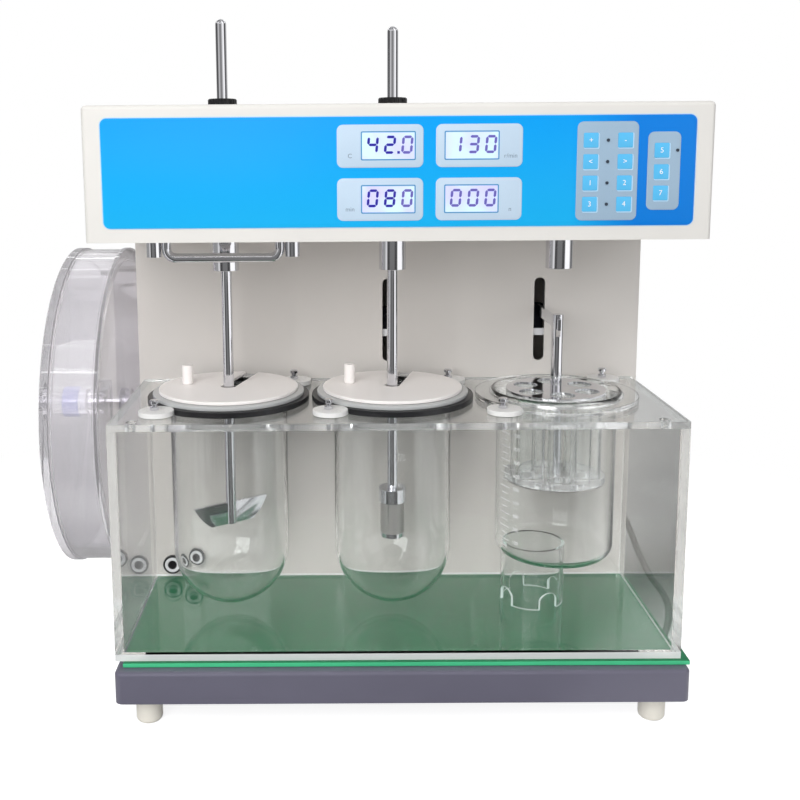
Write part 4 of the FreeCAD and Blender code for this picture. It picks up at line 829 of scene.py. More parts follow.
@dataclass
class Studio:
    """The floor, the lamps, the world and the camera.

    Bands are directions in degrees, from the front towards the right, with the light that comes from there;
    tubes are heights between level and straight up, with theirs.
    """

    camera_at: Point = (-0.01125, -0.9907, 0.4895)
    pitch: float = math.radians(8.4006)
    yaw: float = -0.003968
    roll: float = -0.007201
    lens_share: float = 1.273625
    shift: Pair = (0.0835, -0.119125)
    sensor: float = 36.0
    sight: Pair = (0.02, 50)
    floor_half: float = 6.0
    floor_fade: Pair = (0.42, 0.85)
    floor_shade: float = 0.6
    floor_glow: float = 0.82
    world_colour: Colour = (0.96, 0.98, 1.0)
    world_light: float = 0.41
    band_light: float = 1.3
    floor_bands: tuple[Pair, ...] = (
        (-180, 0.3), (-90, 0.28), (-68, 0.3), (-60, 0.65), (-50, 0.65), (-44, 0.06), (-28, 0.06),
        (-22, 0.16), (14, 0.16), (18, 0.06), (36, 0.06), (44, 1.0), (82, 1.0), (94, 0.25), (112, 0.08),
        (130, 0.3), (180, 0.3))
    wall_bands: tuple[Pair, ...] = (
        (-180, 0.4), (-130, 0.4), (-118, 0.06), (-70, 0.1), (-58, 0.5), (-34, 0.5), (-26, 0.22), (12, 0.22),
        (20, 0.5), (34, 0.7), (52, 1.0), (66, 1.0), (74, 0.1), (112, 0.08), (124, 0.5), (180, 0.4))
    tubes: tuple[Pair, ...] = (
        (0, 0), (0.372, 0), (0.376, 0.5), (0.386, 0.5), (0.39, 0), (0.53, 0), (0.534, 1), (0.55, 1),
        (0.554, 0), (0.77, 0), (0.774, 0.5), (0.782, 0.5), (0.786, 0))
    tube_light: float = 5.0
    lamps: tuple[Lamp, ...] = (
        Lamp("key_lamp", (-0.7, -1.8, 0.95), (0.0, 0.0, 0.3), 1.1, 17),
        Lamp("high_lamp", (-0.4, -1.35, 1.6), (0.0, 0.0, 0.3), 0.8, 9.5),
        Lamp("side_lamp", (1.5, -1.5, 0.9), (0.0, 0.0, 0.25), 1.2, 4.5),
        Lamp("top_lamp", (0.1, 0.2, 2.3), (0.0, 0.0, 0.3), 1.6, 5))
    bounces: int = 32
    glossy_bounces: int = 8
    passes_through: int = 24

    def build(self) -> None:
        """Make everything round the object."""
        self.place_camera()
        self.lay_floor()
        self.light_world()
        for lamp in self.lamps:
            lamp.hang()
        scene = bpy.context.scene
        scene.view_settings.view_transform = "Standard"
        scene.cycles.max_bounces = scene.cycles.transmission_bounces = self.bounces
        scene.cycles.glossy_bounces = self.glossy_bounces
        scene.cycles.transparent_max_bounces = self.passes_through

    def place_camera(self) -> None:
        """Stand the camera where it looks at the tester's front."""
        ahead = Vector((math.sin(self.yaw) * math.cos(self.pitch), math.cos(self.yaw) * math.cos(self.pitch),
                        -math.sin(self.pitch)))
        right = Vector((math.cos(self.yaw), -math.sin(self.yaw), 0))
        down = ahead.cross(right)
        turned_right = right * math.cos(self.roll) - down * math.sin(self.roll)
        turned_down = right * math.sin(self.roll) + down * math.cos(self.roll)
        data = bpy.data.cameras.new("camera")
        data.sensor_width = self.sensor
        data.lens = self.lens_share * self.sensor
        data.shift_x, data.shift_y = self.shift
        data.clip_start, data.clip_end = self.sight
        camera = bpy.data.objects.new("camera", data)
        axes = Matrix((turned_right, -turned_down, -ahead)).transposed()
        camera.matrix_world = Matrix.Translation(self.camera_at) @ axes.to_4x4()
        bpy.context.collection.objects.link(camera)
        bpy.context.scene.camera = camera

    def lay_floor(self) -> None:
        """Lay the pale floor, which goes over to white further off and is banded in what mirrors it."""
        mesh = bmesh.new()
        bmesh.ops.create_grid(mesh, x_segments=1, y_segments=1, size=self.floor_half)
        data = bpy.data.meshes.new("floor")
        mesh.to_mesh(data)
        mesh.free()
        graph = Graph(bpy.data.materials.new("pale_floor"))
        away = graph.node("VectorMath", graph.place, operation="LENGTH").outputs["Value"]
        fade = graph.scaled(away, *self.floor_fade, 0, 1, interpolation_type="SMOOTHSTEP")
        seen = graph.rays("Camera", "Transmission")
        paint = graph.shader("BsdfDiffuse", Color=(self.floor_shade,) * 3)
        lift = graph.shader("Emission", Strength=graph.math("MULTIPLY", seen, self.floor_glow))
        near = graph.node("AddShader", paint, lift).outputs[0]
        white = graph.shader("Emission", Strength=1.0)
        laid = graph.mixed(graph.math("MULTIPLY", fade, seen), near, white)
        mirrored = graph.shader("Emission", Strength=self.banded(graph, graph.place, self.floor_bands))
        data.materials.append(graph.finish(graph.mixed(graph.rays("Glossy"), laid, mirrored)))
        floor = bpy.data.objects.new("floor", data)
        bpy.context.collection.objects.link(floor)

    def banded(self, graph: Graph, ahead: Socket, bands: Sequence[Pair]) -> Socket:
        """Give the light that polished pieces mirror, in pale and dark bands round the object.

        Args:
            graph: The nodes to add to.
            ahead: The direction or the place that is mirrored.
            bands: The bands.

        Returns:
            The light's strength.
        """
        across, away, _ = graph.parts(ahead)
        angle = graph.math("ARCTAN2", across, graph.math("MULTIPLY", away, -1))
        level = graph.ramp(graph.math("DEGREES", angle), -180, 180, bands)
        return graph.math("MULTIPLY", level, self.band_light)

    def light_world(self) -> None:
        """Light the world: plainly for matt pieces, white to the eye and as a room for what mirrors it."""
        graph = Graph(bpy.data.worlds.new("studio"), "OutputWorld")
        tubes = graph.ramp(graph.parts(graph.heading)[2], 0, 1, self.tubes)
        tubes = graph.math("MULTIPLY", tubes, self.tube_light)
        walls = graph.math("MAXIMUM", tubes, self.banded(graph, graph.heading, self.wall_bands))
        plain = graph.shader("Background", Color=self.world_colour, Strength=self.world_light)
        room = graph.shader("Background", Color=WHITE, Strength=walls)
        seen = graph.shader("Background", Color=WHITE, Strength=1.0)
        lit = graph.mixed(graph.rays("Glossy"), plain, room)
        bpy.context.scene.world = graph.finish(graph.mixed(graph.rays("Camera", "Transmission"), lit, seen))


# ------------------------------------------------------------------------------------ main pieces
@dataclass
class Assembly:
    """Pieces that belong together, made round the construction model. Their sizes are millimetres."""

    model: Model

    def dress(self, finish: Finish, *nodes: str, edge: Edge = Edge.SHARP) -> None:
        """Dress nodes alike."""
        for node in nodes:
            self.model.refined(node, finish, edge)


@dataclass
class Housing(Assembly):
    """The base, the column and the head."""

    def build(self) -> None:
        """Dress the painted sheet pieces, the feet and the mat."""
        self.dress(BASE_ENAMEL, "base_tray")
        self.dress(FOOT_PLASTIC, "base_feet")
        mat = self.model.refined("bench_mat", MAT_RUBBER, Edge.FULL)
        # Its side faces get the lighter green, a painted highlight.
        trim(mat, MAT_SIDE_HIGHLIGHT, lambda _, normal: abs(normal.z) < ASLANT)
        self.dress(COLUMN_ENAMEL, "column_shell", "column_rear_panel")
        self.dress(HEAD_ENAMEL, "head_shell")
        self.dress(STEEL, "head_handle")
        self.dress(KNOB_PLASTIC, "rear_switch")


@dataclass
class Bath(Assembly):
    """The clear tank with its plate, ports and pump."""

    wall: float = 7.0
    floor: float = 6.0
    port_radius: float = 9.5
    seal_radii: Pair = (4.6, 7.6)
    seal_thick: float = 0.6
    seal_lift: float = 0.3

    def build(self) -> None:
        """Dress the tank's pieces."""
        self.tank()
        plate = self.model.refined("tank_top_plate", ACRYLIC, Edge.SLIGHT)
        low, high = self.model.corners("tank_top_plate")
        trim(plate, ACRYLIC_EDGE,
             lambda at, _: min(at.x - low.x, high.x - at.x, at.y - low.y, high.y - at.y) < MM)
        self.dress(PORT_PLASTIC, "tank_ports")
        self.port_seals()
        self.dress(PUMP_PLASTIC, "circulation_pump")

    def tank(self) -> None:
        """Dress the tank, with the sawn edges of its floor and its side walls."""
        low, high = self.model.corners("water_tank")
        floor_top = low.z + self.floor * MM
        left, right = low.x + self.wall * MM, high.x - self.wall * MM
        cuts = (((0, 0, floor_top), UPRIGHT), ((left, 0, 0), SIDEWAYS), ((right, 0, 0), SIDEWAYS))

        def outside(at: Vector) -> bool:
            """Tell the front and the back face."""
            return at.y < low.y + MM or at.y > high.y - MM

        def floor_edge(at: Vector, normal: Vector) -> bool:
            """Tell the floor panel's edges."""
            side = at.x < low.x + MM or at.x > high.x - MM
            return at.z < floor_top and abs(normal.z) < ASLANT and (outside(at) or side)

        def wall_edge(at: Vector, normal: Vector) -> bool:
            """Tell the walls' upright and top edges."""
            upright = outside(at) and not left < at.x < right and abs(normal.y) > FACING
            return not floor_edge(at, normal) and (upright or (at.z > high.z - MM and normal.z > FACING))

        tank = self.model.refined("water_tank", ACRYLIC, cuts=cuts)
        trim(trim(tank, ACRYLIC_EDGE, wall_edge), FLOOR_EDGE, floor_edge)

    def port_seals(self) -> None:
        """Lay the white seal round the bore of each port."""
        low, high = self.model.corners("tank_ports")
        radius = self.port_radius * MM
        inner, outer = self.seal_radii
        profile = [(inner, 0), (outer, 0), (outer, self.seal_thick), (inner, self.seal_thick)]
        seals = [lathe(profile, (across, low.y - self.seal_lift * MM, up), Axis.Y, 48, ring=True)
                 for across, up in ((low.x + radius, low.z + radius), (high.x - radius, high.z - radius))]
        self.model.add("port_seals", merged(seals), PORT_WHITE, "tank_ports", Edge.HAIRLINE, replace=False)


@dataclass
class Vessels(Assembly):
    """The two stirred glass vessels, with their gaskets, lids and sampling plugs."""

    wall: float = 2.5
    radius: float = 53.5
    flange: float = 69.0
    flange_thick: float = 3.6
    neck_round: float = 2.0
    edge_round: float = 0.8
    bowl_steps: int = 28
    ground_from: float = 56.0
    ground_under: float = 0.1

    def build(self) -> None:
        """Make both vessels."""
        for side in ("left", "middle"):
            self.glass(f"vessel_{side}")
            self.dress(LID_PLASTIC, f"lid_{side}", edge=Edge.SOFT)
            self.dress(LID_PLASTIC, f"sampling_plug_{side}", edge=Edge.FULL)
        self.dress(GASKET_RUBBER, "vessel_gaskets", edge=Edge.FULL)

    def glass(self, node: str) -> None:
        """Blow one vessel: a round-bottomed cylinder with a ground flange.

        Args:
            node: The construction node that it stands for.
        """
        low, high = self.model.corners(node)
        middle = self.model.middle(node)
        tall = (high.z - low.z) / MM
        inner = self.radius - self.wall
        under = tall - self.flange_thick
        neck, edge = self.neck_round, self.edge_round
        profile = arc((0, self.radius), self.radius, -90, 0, self.bowl_steps)
        profile += arc((self.radius + neck, under - neck), neck, 180, 90, 5)
        profile += arc((self.flange - edge, under + edge), edge, -90, 0, 3)
        profile += arc((self.flange - edge, tall - edge), edge, 0, 90, 3)
        profile += arc((inner + edge, tall - edge), edge, 90, 180, 3)
        profile += arc((0, self.radius), inner, 0, -90, self.bowl_steps)
        made = self.model.add(f"{node}_glass", lathe(profile, (middle.x, middle.y, low.z)), GLASS, node)
        brim = high.z - (self.flange_thick + self.ground_under) * MM
        throat = self.ground_from * MM
        trim(made, GROUND_GLASS,
             lambda at, _: at.z > brim and math.hypot(at.x - middle.x, at.y - middle.y) > throat)


@dataclass
class Clamps(Assembly):
    """The clamp cams and their thumbscrews."""

    count: int = 6

    def build(self) -> None:
        """Dress the cams and the screws."""
        self.dress(CAM_PLASTIC, *(f"clamp_cam_{number + 1}" for number in range(self.count)), edge=Edge.SOFT)
        self.dress(STEEL, "clamp_thumbscrews")


@dataclass
class BeakerStation(Assembly):
    """The beaker on its stand, under the clear collar.

    The neck's corners are given by how far they stand out from the wall, and how far below the top.
    """

    radius: float = 54.0
    wall: float = 2.0
    corner: float = 12.0
    lip: float = 4.5
    rim_round: float = 1.2
    neck_outside: tuple[Pair, ...] = ((0, 10.8), (1.575, 5.85))
    neck_inside: tuple[Pair, ...] = ((0.4, 7.2), (0, 11.7))
    stand_wall: float = 2.9
    first_mark: float = 20.3
    mark_step: float = 12.4
    mark_count: int = 9
    tick_lengths: Pair = (8, 14)
    tick_width: float = 0.7
    tick_angle: float = 204.5
    number_angle: float = 220.0
    number_size: float = 3.4
    ink: float = 0.12
    ink_lift: float = 0.1

    def build(self) -> None:
        """Make the beaker and dress what holds it."""
        self.glass()
        self.marks()
        self.dress(ACRYLIC, "beaker_collar", edge=Edge.SOFT)
        stand = self.model.refined("beaker_stand", ACRYLIC)
        foot, top = self.model.corners("beaker_stand")
        middle = (foot + top) / 2
        bore = (top.x - foot.x) / 2 - self.stand_wall * MM

        def sawn(at: Vector, normal: Vector) -> bool:
            """Tell the cut edges from the tube's own round walls.

            Args:
                at: A face's middle.
                normal: Its normal.

            Returns:
                True for a cut edge.
            """
            out = Vector((at.x - middle.x, at.y - middle.y, 0))
            round_wall = abs(normal.dot(out.normalized())) > 0.97 and abs(normal.z) < 0.1
            return not round_wall and out.length > bore and at.z < top.z - MM

        trim(stand, ARCH_EDGE, sawn)

    def glass(self) -> None:
        """Blow the beaker, with a rolled rim."""
        low, high = self.model.corners("beaker")
        middle = self.model.middle("beaker")
        tall = (high.z - low.z) / MM
        inner = self.radius - self.wall
        heel = (self.radius - self.corner, self.corner)
        rim = (self.radius + self.lip - self.rim_round, tall - self.rim_round)
        profile = [(0, 0)] + arc(heel, self.corner, -90, 0, 10)
        profile += [(self.radius + out, tall - below) for out, below in self.neck_outside]
        profile += arc(rim, self.rim_round, -40, 130, 7)
        profile += [(inner + out, tall - below) for out, below in self.neck_inside]
        profile += arc(heel, self.corner - self.wall, 0, -90, 10) + [(0, self.wall)]
        self.model.add("beaker_glass", lathe(profile, (middle.x, middle.y, low.z)), GLASS, "beaker")

    def marks(self) -> None:
        """Print the volume marks and their numbers on the beaker's front left."""
        prints = []
        for index in range(1, 2 * self.mark_count + 1):
            up = self.first_mark + self.mark_step * (index / 2 - 1)
            hundred = index % 2 == 0
            tick = bmesh.new()
            bmesh.ops.create_grid(tick, x_segments=6, y_segments=1, size=0.5)
            size = (self.tick_lengths[hundred] * MM, self.tick_width * MM, 1)
            bmesh.ops.scale(tick, vec=size, verts=tick.verts)
            prints.append(self.wrapped(tick, self.tick_angle, up))
            if hundred:
                number = lettering(f"{index * 50}", self.number_size)
                prints.append(self.wrapped(number, self.number_angle, up))
        self.model.add("beaker_marks", merged(prints), INK_WHITE, "beaker", replace=False)

    def wrapped(self, flat: Mesh, facing: float, up: float) -> Mesh:
        """Lay a flat print round the beaker and give it the thickness of its ink.

        Args:
            flat: The print, on the ground plane.
            facing: The direction that its middle faces, in degrees.
            up: Its height above the beaker's foot, in millimetres.

        Returns:
            The same mesh, bent.
        """
        foot = self.model.corners("beaker")[0].z
        middle = self.model.middle("beaker")
        reach = (self.radius + self.ink_lift) * MM
        for vert in flat.verts:
            angle = math.radians(facing) + vert.co.x / reach
            vert.co = (middle.x + reach * math.cos(angle), middle.y + reach * math.sin(angle),
                       foot + up * MM + vert.co.y)
        for vert in thicken(flat, flat.faces):
            vert.co += Vector((vert.co.x - middle.x, vert.co.y - middle.y, 0)).normalized() * self.ink * MM
        bmesh.ops.recalc_face_normals(flat, faces=flat.faces)
        return flat


@dataclass
class Stirring(Assembly):
    """The spindles, their drive, the paddle and the basket."""

    basket_rim: float = 4.0

    def build(self) -> None:
        """Dress the turning pieces."""
        self.dress(STEEL, "spindle_left", "spindle_middle", "spindle_right", edge=Edge.SLIGHT)
        self.dress(KNOB_PLASTIC, "lock_knob_left", "lock_knob_middle")
        self.dress(DARK_STEEL, "spindle_bearings")
        self.dress(MOTOR_PAINT, "stirrer_motor")
        self.dress(BELT_RUBBER, "drive_belt")
        self.dress(STEEL, "paddle", "basket_shaft", edge=Edge.FINE)
        middle = self.model.middle("mesh_basket")
        cloth = replace(MESH_STEEL, name="rolled_wire", centre=(middle.x, middle.y))
        rim = self.model.corners("mesh_basket")[0].z + self.basket_rim * MM
        basket = self.model.refined("mesh_basket", cloth, cuts=(((0, 0, rim), UPRIGHT),))
        trim(basket, STEEL, lambda at, _: at.z < rim)


@dataclass
class Lift(Assembly):
    """The lift that dips the basket rack, and the rack."""

    cross_bar: float = 7.0

    def build(self) -> None:
        """Dress the carriage, the arm and the rack."""
        bar = self.model.corners("lift_carriage")[0].z + self.cross_bar * MM
        # The carriage and the drive are coloured near black, painted shade for the inside of the slot.
        carriage = self.model.refined("lift_carriage", SLOT_SHADE_STEEL, cuts=(((0, 0, bar), UPRIGHT),))
        trim(carriage, CARRIAGE_BAR_WHITE, lambda at, _: at.z < bar)
        self.dress(STEEL, "hanging_arm", edge=Edge.FINE)
        self.dress(SLOT_SHADE_STEEL, "lift_drive")
        self.dress(STEEL, "rack_hanger", edge=Edge.FINE)
        self.dress(RACK_ACRYLIC, "rack_plates", edge=Edge.FINE)
        self.dress(GLASS, "rack_tubes")
        self.dress(MESH_STEEL, "rack_sieve")


@dataclass
class Drum(Assembly):
    """The tumbling drum at the left side."""

    knob_band: float = 16.4

    def build(self) -> None:
        """Dress the drum's pieces."""
        # The drum's body and cover carry a painted reflection: a lilac tint with a little milky scatter.
        self.dress(DRUM_ACRYLIC_PAINTED_REFLECTION, "drum_body", "drum_cover", edge=Edge.SOFT)
        self.dress(STEEL, "drum_shaft")
        knob = self.model.refined("drum_knob", KNOB_CLEAR, Edge.SOFT)
        band = self.model.corners("drum_knob")[0].x + self.knob_band * MM
        trim(knob, BAND_BLUE, lambda at, _: at.x < band)
        self.dress(DARK_STEEL, "drum_gearmotor")


class Segment(Enum):
    """The seven strokes of a display digit.

    Each has its middle, as shares of the digit's half width and half height, and whether it lies flat.
    """

    TOP = (0, 1, True)
    UPPER_LEFT = (-1, 0.5, False)
    UPPER_RIGHT = (1, 0.5, False)
    MIDDLE = (0, 0, True)
    LOWER_LEFT = (-1, -0.5, False)
    LOWER_RIGHT = (1, -0.5, False)
    BOTTOM = (0, -1, True)


DIGITS = {
    "0": "TOP UPPER_LEFT UPPER_RIGHT LOWER_LEFT LOWER_RIGHT BOTTOM",
    "1": "UPPER_RIGHT LOWER_RIGHT",
    "2": "TOP UPPER_RIGHT MIDDLE LOWER_LEFT BOTTOM",
    "3": "TOP UPPER_RIGHT MIDDLE LOWER_RIGHT BOTTOM",
    "4": "UPPER_LEFT UPPER_RIGHT MIDDLE LOWER_RIGHT",
    "8": "TOP UPPER_LEFT UPPER_RIGHT MIDDLE LOWER_LEFT LOWER_RIGHT BOTTOM",
}


class Layer(Enum):
    """What the panel is laid up from: how far front and back stand off the head, in millimetres."""

    BORDER = (0.3, 0.0)
    FILM = (0.8, 0.0)
    FIELD = (1.25, 0.8)
    UNIT = (1.26, 1.26)
    FRAME = (1.3, 1.2)
    SCREEN = (1.38, 1.22)
    STROKE = (1.42, 1.32)
    KEY_RIM = (1.4, 1.25)
    KEY_CAP = (1.85, 1.25)
    KEY_MARK = (1.88, 1.88)


@dataclass
class ControlPanel(Assembly):
    """The printed panel film with its displays, keys and lamps.

    The two fields of the keys have offsets of their upper left corners from the keys' upper left and upper
    right ones, as the rim of a key has from the key's. Digits lie from the window's right edge to the left.
    """

    film_corner: float = 5.5
    border: float = 0.7
    print_edge: float = 0.2
    window: Pair = (44.5, 23.3)
    window_corner: float = 1.2
    bezel: float = 1.0
    screen_corner: float = 0.6
    surround: Pair = (70, 34.5)
    surround_corner: float = 5.0
    surround_rise: float = 5.4
    surround_insets: Pair = (19.4, 6.8)
    texts: tuple[str, ...] = ("42.0", "080", "130", "000")
    units: tuple[str, ...] = ("C", "min", "r/min", "n")
    unit_size: float = 3.6
    unit_places: tuple[Pair, Pair] = ((10.5, 3.5), (60.5, 3.0))
    digit_half: Pair = (3.5, 6.2)
    digit_pitch: float = 14.0
    digit_inset: float = 6.9
    digit_rise: float = 0.8
    point_offset: Pair = (5.88, 7.2)
    stroke: float = 2.1
    stroke_gap: float = 0.2
    stroke_thick: float = 0.1
    slant: float = 0.09
    dark_digits: int = 2
    key_size: float = 12
    key_pitch: Pair = (27.8, 17.15)
    key_grid: tuple[int, int] = (2, 4)
    side_keys: int = 3
    side_drop: float = 8.4
    key_corner: float = 1.0
    key_edge: float = 0.4
    key_rim: tuple[Pair, Pair] = ((0.2, -0.1), (12.7, 12.8))
    key_rim_corner: float = 1.2
    field_corner: float = 5.0
    field_offsets: tuple[Pair, Pair] = ((-5.1, 9), (-17.3, 0.5))
    field_sizes: tuple[Pair, Pair] = ((49.5, 79.6), (26.5, 62.9))
    key_marks: str = "+-<>1234567"
    mark_size: float = 4.2

    def build(self) -> None:
        """Make the film, the displays, the keys and the lamps."""
        self.film()
        self.displays()
        self.keys()
        self.dress(LAMP_PLASTIC, "status_lamps")

    def stood_off(self, layer: Layer) -> Pair:
        """Give where a layer's front and its back are, from front to rear."""
        head = self.model.corners("head_shell")[0].y
        return tuple(head - value * MM for value in layer.value)

    def plaque(self, at: Pair, size: Pair, layer: Layer, corner: float, rim: float = 0.0) -> Mesh:
        """Make one layer's card.

        Args:
            at: Its left and its top edge, in metres.
            size: Its width and height.
            layer: The layer that it makes.
            corner: Radius of its corners.
            rim: Radius of its front edge.

        Returns:
            The mesh.
        """
        front, back = self.stood_off(layer)
        (left, top), (wide, tall) = at, size
        return card((left, front, top - tall * MM), (left + wide * MM, back, top), corner * MM, rim * MM)

    def film(self) -> None:
        """Print the film and the fine pale line round it."""
        low, high = self.model.corners("control_panel")
        wide, _, tall = (high - low) / MM
        blue = replace(BLUE_FILM, centre=tuple((low + high) / 2), half=tuple((high - low) / 2))
        film = self.plaque((low.x, high.z), (wide, tall), Layer.FILM, self.film_corner, self.print_edge)
        self.model.add("panel_film", film, blue, "control_panel")
        edge = self.border
        line = self.plaque((low.x - edge * MM, high.z + edge * MM), (wide + 2 * edge, tall + 2 * edge),
                           Layer.BORDER, self.film_corner + edge)
        self.model.add("panel_border", line, KEY_RIM, "control_panel", replace=False)

    def displays(self) -> None:
        """Make the four displays with their surrounds, screens and digits."""
        low, high = self.model.corners("display_windows")
        wide, tall = self.window
        inside = (wide - 2 * self.bezel, tall - 2 * self.bezel)
        bezel = self.bezel * MM
        surrounds, frames, screens, units = [], [], [], []
        digits: dict[Finish, list[Mesh]] = {DIGIT: [], PALE_DIGIT: []}
        order = [(column, row) for column in range(2) for row in range(2)]
        for text, unit, (column, row) in zip(self.texts, self.units, order):
            left = (low.x, high.x - wide * MM)[column]
            top = (high.z, low.z + tall * MM)[row]
            side = left - self.surround_insets[column] * MM
            surrounds.append(self.plaque((side, top + self.surround_rise * MM), self.surround, Layer.FIELD,
                                         self.surround_corner, self.print_edge))
            frames.append(self.plaque((left, top), self.window, Layer.FRAME, self.window_corner))
            screens.append(self.plaque((left + bezel, top - bezel), inside, Layer.SCREEN, self.screen_corner))
            middle = top - (tall / 2 - self.digit_rise) * MM
            for place, digit in enumerate(reversed(self.number(text, left + wide * MM, middle))):
                digits[DIGIT if column == 0 and place < self.dark_digits else PALE_DIGIT] += digit
            across, up = self.unit_places[column]
            units.append((unit, side + across * MM, top - (tall - up) * MM))
        self.model.add("display_surrounds", merged(surrounds), SURROUND_PRINT, "control_panel", replace=False)
        self.model.add("display_frames", merged(frames), WINDOW_PRINT, "control_panel", replace=False)
        self.model.add("display_screens", merged(screens), SCREEN, "display_windows")
        for name, ink in (("display_digits", DIGIT), ("display_pale_digits", PALE_DIGIT)):
            self.model.add(name, merged(digits[ink]), ink, "display_windows", replace=False)
        for index, (unit, across, up) in enumerate(units):
            self.label(f"unit_{index}", unit, (across, up), Layer.UNIT, self.unit_size, INK_GREY)

    def number(self, text: str, right: float, middle: float) -> list[list[Mesh]]:
        """Set a number on a display, from its right edge.

        Args:
            text: Digits, and a point after one of them.
            right: The window's right edge.
            middle: The digits' middle height.

        Returns:
            The strokes' meshes of each digit, the last digit first, and a point's with the digit before it.
        """
        front, back = self.stood_off(Layer.STROKE)
        side = self.stroke * MM
        digits, point = [], []
        place = right - self.digit_inset * MM
        for character in reversed(text):
            if character == ".":
                left, foot = place + self.point_offset[0] * MM, middle - self.point_offset[1] * MM
                point = [slab((left, front, foot), (left + side, back, foot + side))]
                continue
            strokes = [self.bar(Segment[name], place, middle) for name in DIGITS[character].split()]
            digits.append(strokes + point)
            point = []
            place -= self.digit_pitch * MM
        return digits

    def bar(self, segment: Segment, across: float, up: float) -> Mesh:
        """Make one pointed stroke of a slanted digit.

        Args:
            segment: Which stroke.
            across: The digit's middle.
            up: The digit's middle height.

        Returns:
            The mesh.
        """
        share_x, share_z, flat = segment.value
        half_wide, half_tall = self.digit_half
        tip = (half_wide if flat else half_tall / 2) - self.stroke_gap
        edge = self.stroke / 2
        flank = tip - edge
        ring = ((-tip, 0), (-flank, edge), (flank, edge), (tip, 0), (flank, -edge), (-flank, -edge))
        mesh = bmesh.new()
        front = mesh.faces.new([mesh.verts.new((x * MM, 0, z * MM)) for x, z in ring])
        bmesh.ops.translate(mesh, vec=(0, self.stroke_thick * MM, 0), verts=thicken(mesh, [front]))
        bmesh.ops.recalc_face_normals(mesh, faces=mesh.faces)
        if not flat:
            bmesh.ops.rotate(mesh, matrix=Matrix.Rotation(math.pi / 2, 3, "Y"), verts=mesh.verts)
        shift = (share_x * half_wide * MM, 0, share_z * half_tall * MM)
        bmesh.ops.translate(mesh, vec=shift, verts=mesh.verts)
        for vert in mesh.verts:
            vert.co.x += vert.co.z * self.slant
        bmesh.ops.translate(mesh, vec=(across, self.stood_off(Layer.STROKE)[0], up), verts=mesh.verts)
        return mesh

    def label(self, name: str, text: str, at: Pair, layer: Layer, size: float, finish: Finish) -> None:
        """Print a short mark on the panel.

        Args:
            name: What the piece's name ends with.
            text: What it says.
            at: Its middle and its middle height, in metres.
            layer: The layer that it makes.
            size: Its letter height.
            finish: The ink.
        """
        mesh = lettering(text, size)
        place = Matrix.Translation((at[0], self.stood_off(layer)[0], at[1]))
        bmesh.ops.transform(mesh, matrix=place @ Matrix.Rotation(math.pi / 2, 4, "X"), verts=mesh.verts)
        self.model.add(f"print_{name}", mesh, finish, "control_panel", replace=False)

    def keys(self) -> None:
        """Make the key fields and the embossed keys, each with a light rim and a plain mark."""
        low, high = self.model.corners("keypad_keys")
        size, (step, pitch) = self.key_size * MM, self.key_pitch
        fields = [self.plaque((start + out * MM, high.z + rise * MM), field, Layer.FIELD, self.field_corner,
                              self.print_edge)
                  for start, (out, rise), field in zip((low.x, high.x), self.field_offsets, self.field_sizes)]
        self.model.add("key_fields", merged(fields), FIELD_PRINT, "control_panel", replace=False)
        columns, rows = self.key_grid
        places = [(low.x + step * MM * column, high.z - pitch * MM * row)
                  for row in range(rows) for column in range(columns)]
        places += [(high.x - size, high.z - (self.side_drop + pitch * row) * MM)
                   for row in range(self.side_keys)]
        (out, rise), rim = self.key_rim
        rims = [self.plaque((left + out * MM, top + rise * MM), rim, Layer.KEY_RIM, self.key_rim_corner)
                for left, top in places]
        square = (self.key_size, self.key_size)
        caps = [self.plaque(place, square, Layer.KEY_CAP, self.key_corner, self.key_edge) for place in places]
        self.model.add("key_rims", merged(rims), KEY_RIM, "keypad_keys", replace=False)
        self.model.add("key_caps", merged(caps), KEY_PRINT, "keypad_keys")
        for index, ((left, top), mark) in enumerate(zip(places, self.key_marks)):
            middle = (left + size / 2, top - size / 2)
            self.label(f"key_{index}", mark, middle, Layer.KEY_MARK, self.mark_size, INK_WHITE)


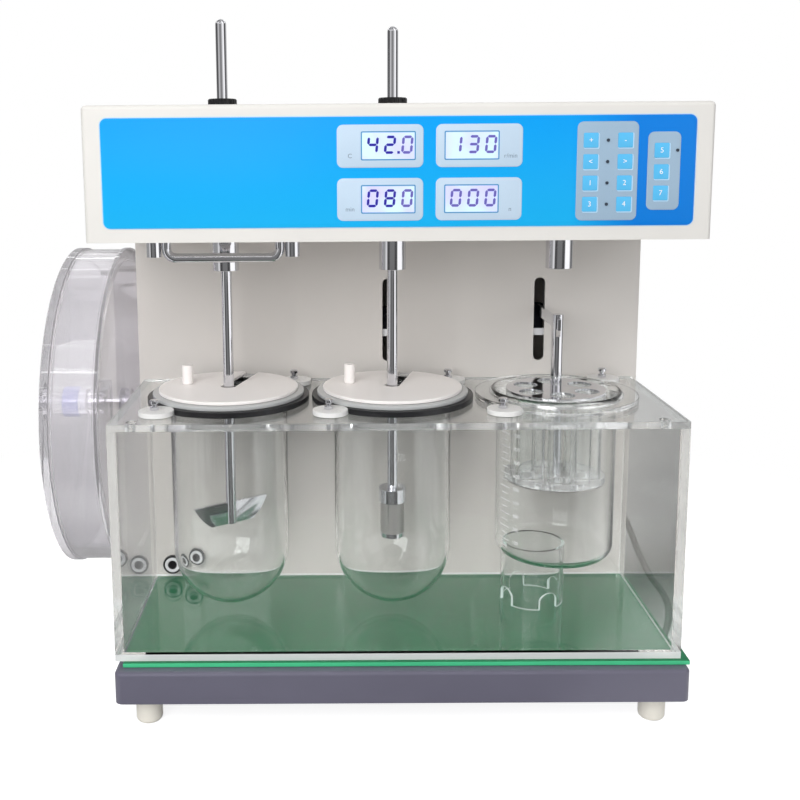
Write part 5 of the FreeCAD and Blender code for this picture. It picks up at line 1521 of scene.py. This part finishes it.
@dataclass
class MainsLead(Assembly):
    """The mains cord, its gland and its plug."""

    radius: float = 3.5
    route: tuple[Point, ...] = (
        (243.75, 167.1, 101), (243.75, 195.7, 101), (260.5, 218.8, 96), (287.8, 227.6, 88), (315, 218.8, 80),
        (331.5, 195.7, 70), (335, 166, 57), (342.5, 148.5, 30), (350, 122, 8), (355, 90, 3.6), (350, 52, 3.6),
        (334, 8, 3.6), (310, -40, 3.6), (276, -84, 3.6), (226, -100, 3.6), (184, -76, 3.6), (166, -28, 3.6),
        (160, 30, 3.6), (166, 90, 3.6), (180, 150, 3.6), (172, 202, 3.6), (156, 234, 3.6),
        (132.1, 251.2, 3.6))
    lead: tuple[Point, ...] = ((45, 244, 3.6), (10, 239, 11.6), (-16, 239, 11.6))
    coil_middle: Pair = (95, 219)
    coil_radii: tuple[float, ...] = (40.7, 33.3, 33.3, 40.7)
    coil_heights: tuple[float, ...] = (3.6, 3.6, 10.8, 10.8)
    turn_points: int = 14
    first_angle: float = 75
    last_angle: float = 110
    blade_length: float = 16.9

    def build(self) -> None:
        """Lay the cord and dress its plug and gland."""
        self.dress(CORD_RUBBER, "cord_gland")
        plug = self.model.refined("power_plug", CORD_RUBBER, Edge.FULL)
        blades = self.model.corners("power_plug")[0].x + self.blade_length * MM
        trim(plug, BRASS, lambda at, _: at.x < blades)
        points = [tuple(value * MM for value in point) for point in (*self.route, *self.coil(), *self.lead)]
        curve = swept(points, self.radius * MM, "mains_cord")
        curve.materials.append(CORD_RUBBER.material())
        cord = bpy.data.objects.new("mains_cord", curve)
        bpy.context.collection.objects.link(cord)
        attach(cord, self.model.bodies["power_cord"])
        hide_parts("power_cord", "cord_coil")

    def coil(self) -> list[Point]:
        """Work out the coil's turns, which lie beside and on each other.

        Returns:
            The points of the turns.
        """
        points = []
        turns = len(self.coil_radii)
        total = 360 * (turns - 1) + self.last_angle - self.first_angle
        steps = round(total / 360 * self.turn_points)
        for index in range(steps + 1):
            along = index / steps * (turns - 1)
            low = min(int(along), turns - 2)
            share = along - low
            ease = share * share * (3 - 2 * share)
            radius, height = (row[low] * (1 - ease) + row[low + 1] * ease
                              for row in (self.coil_radii, self.coil_heights))
            angle = math.radians(self.first_angle + total * index / steps)
            points.append((self.coil_middle[0] + radius * math.cos(angle),
                           self.coil_middle[1] + radius * math.sin(angle), height))
        return points


def main() -> None:
    """Build the tester piece by piece."""
    logging.basicConfig(level=logging.INFO, format="%(relativeCreated)d %(message)s")
    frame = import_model()
    model = Model(frame)
    Studio().build()
    for assembly in (MainsLead, Housing, Bath, Vessels, Clamps, BeakerStation, Stirring, Lift, Drum,
                     ControlPanel):
        assembly(model).build()
        LOG.info("%s done", assembly.__name__)


if __name__ == "__main__":
    main()
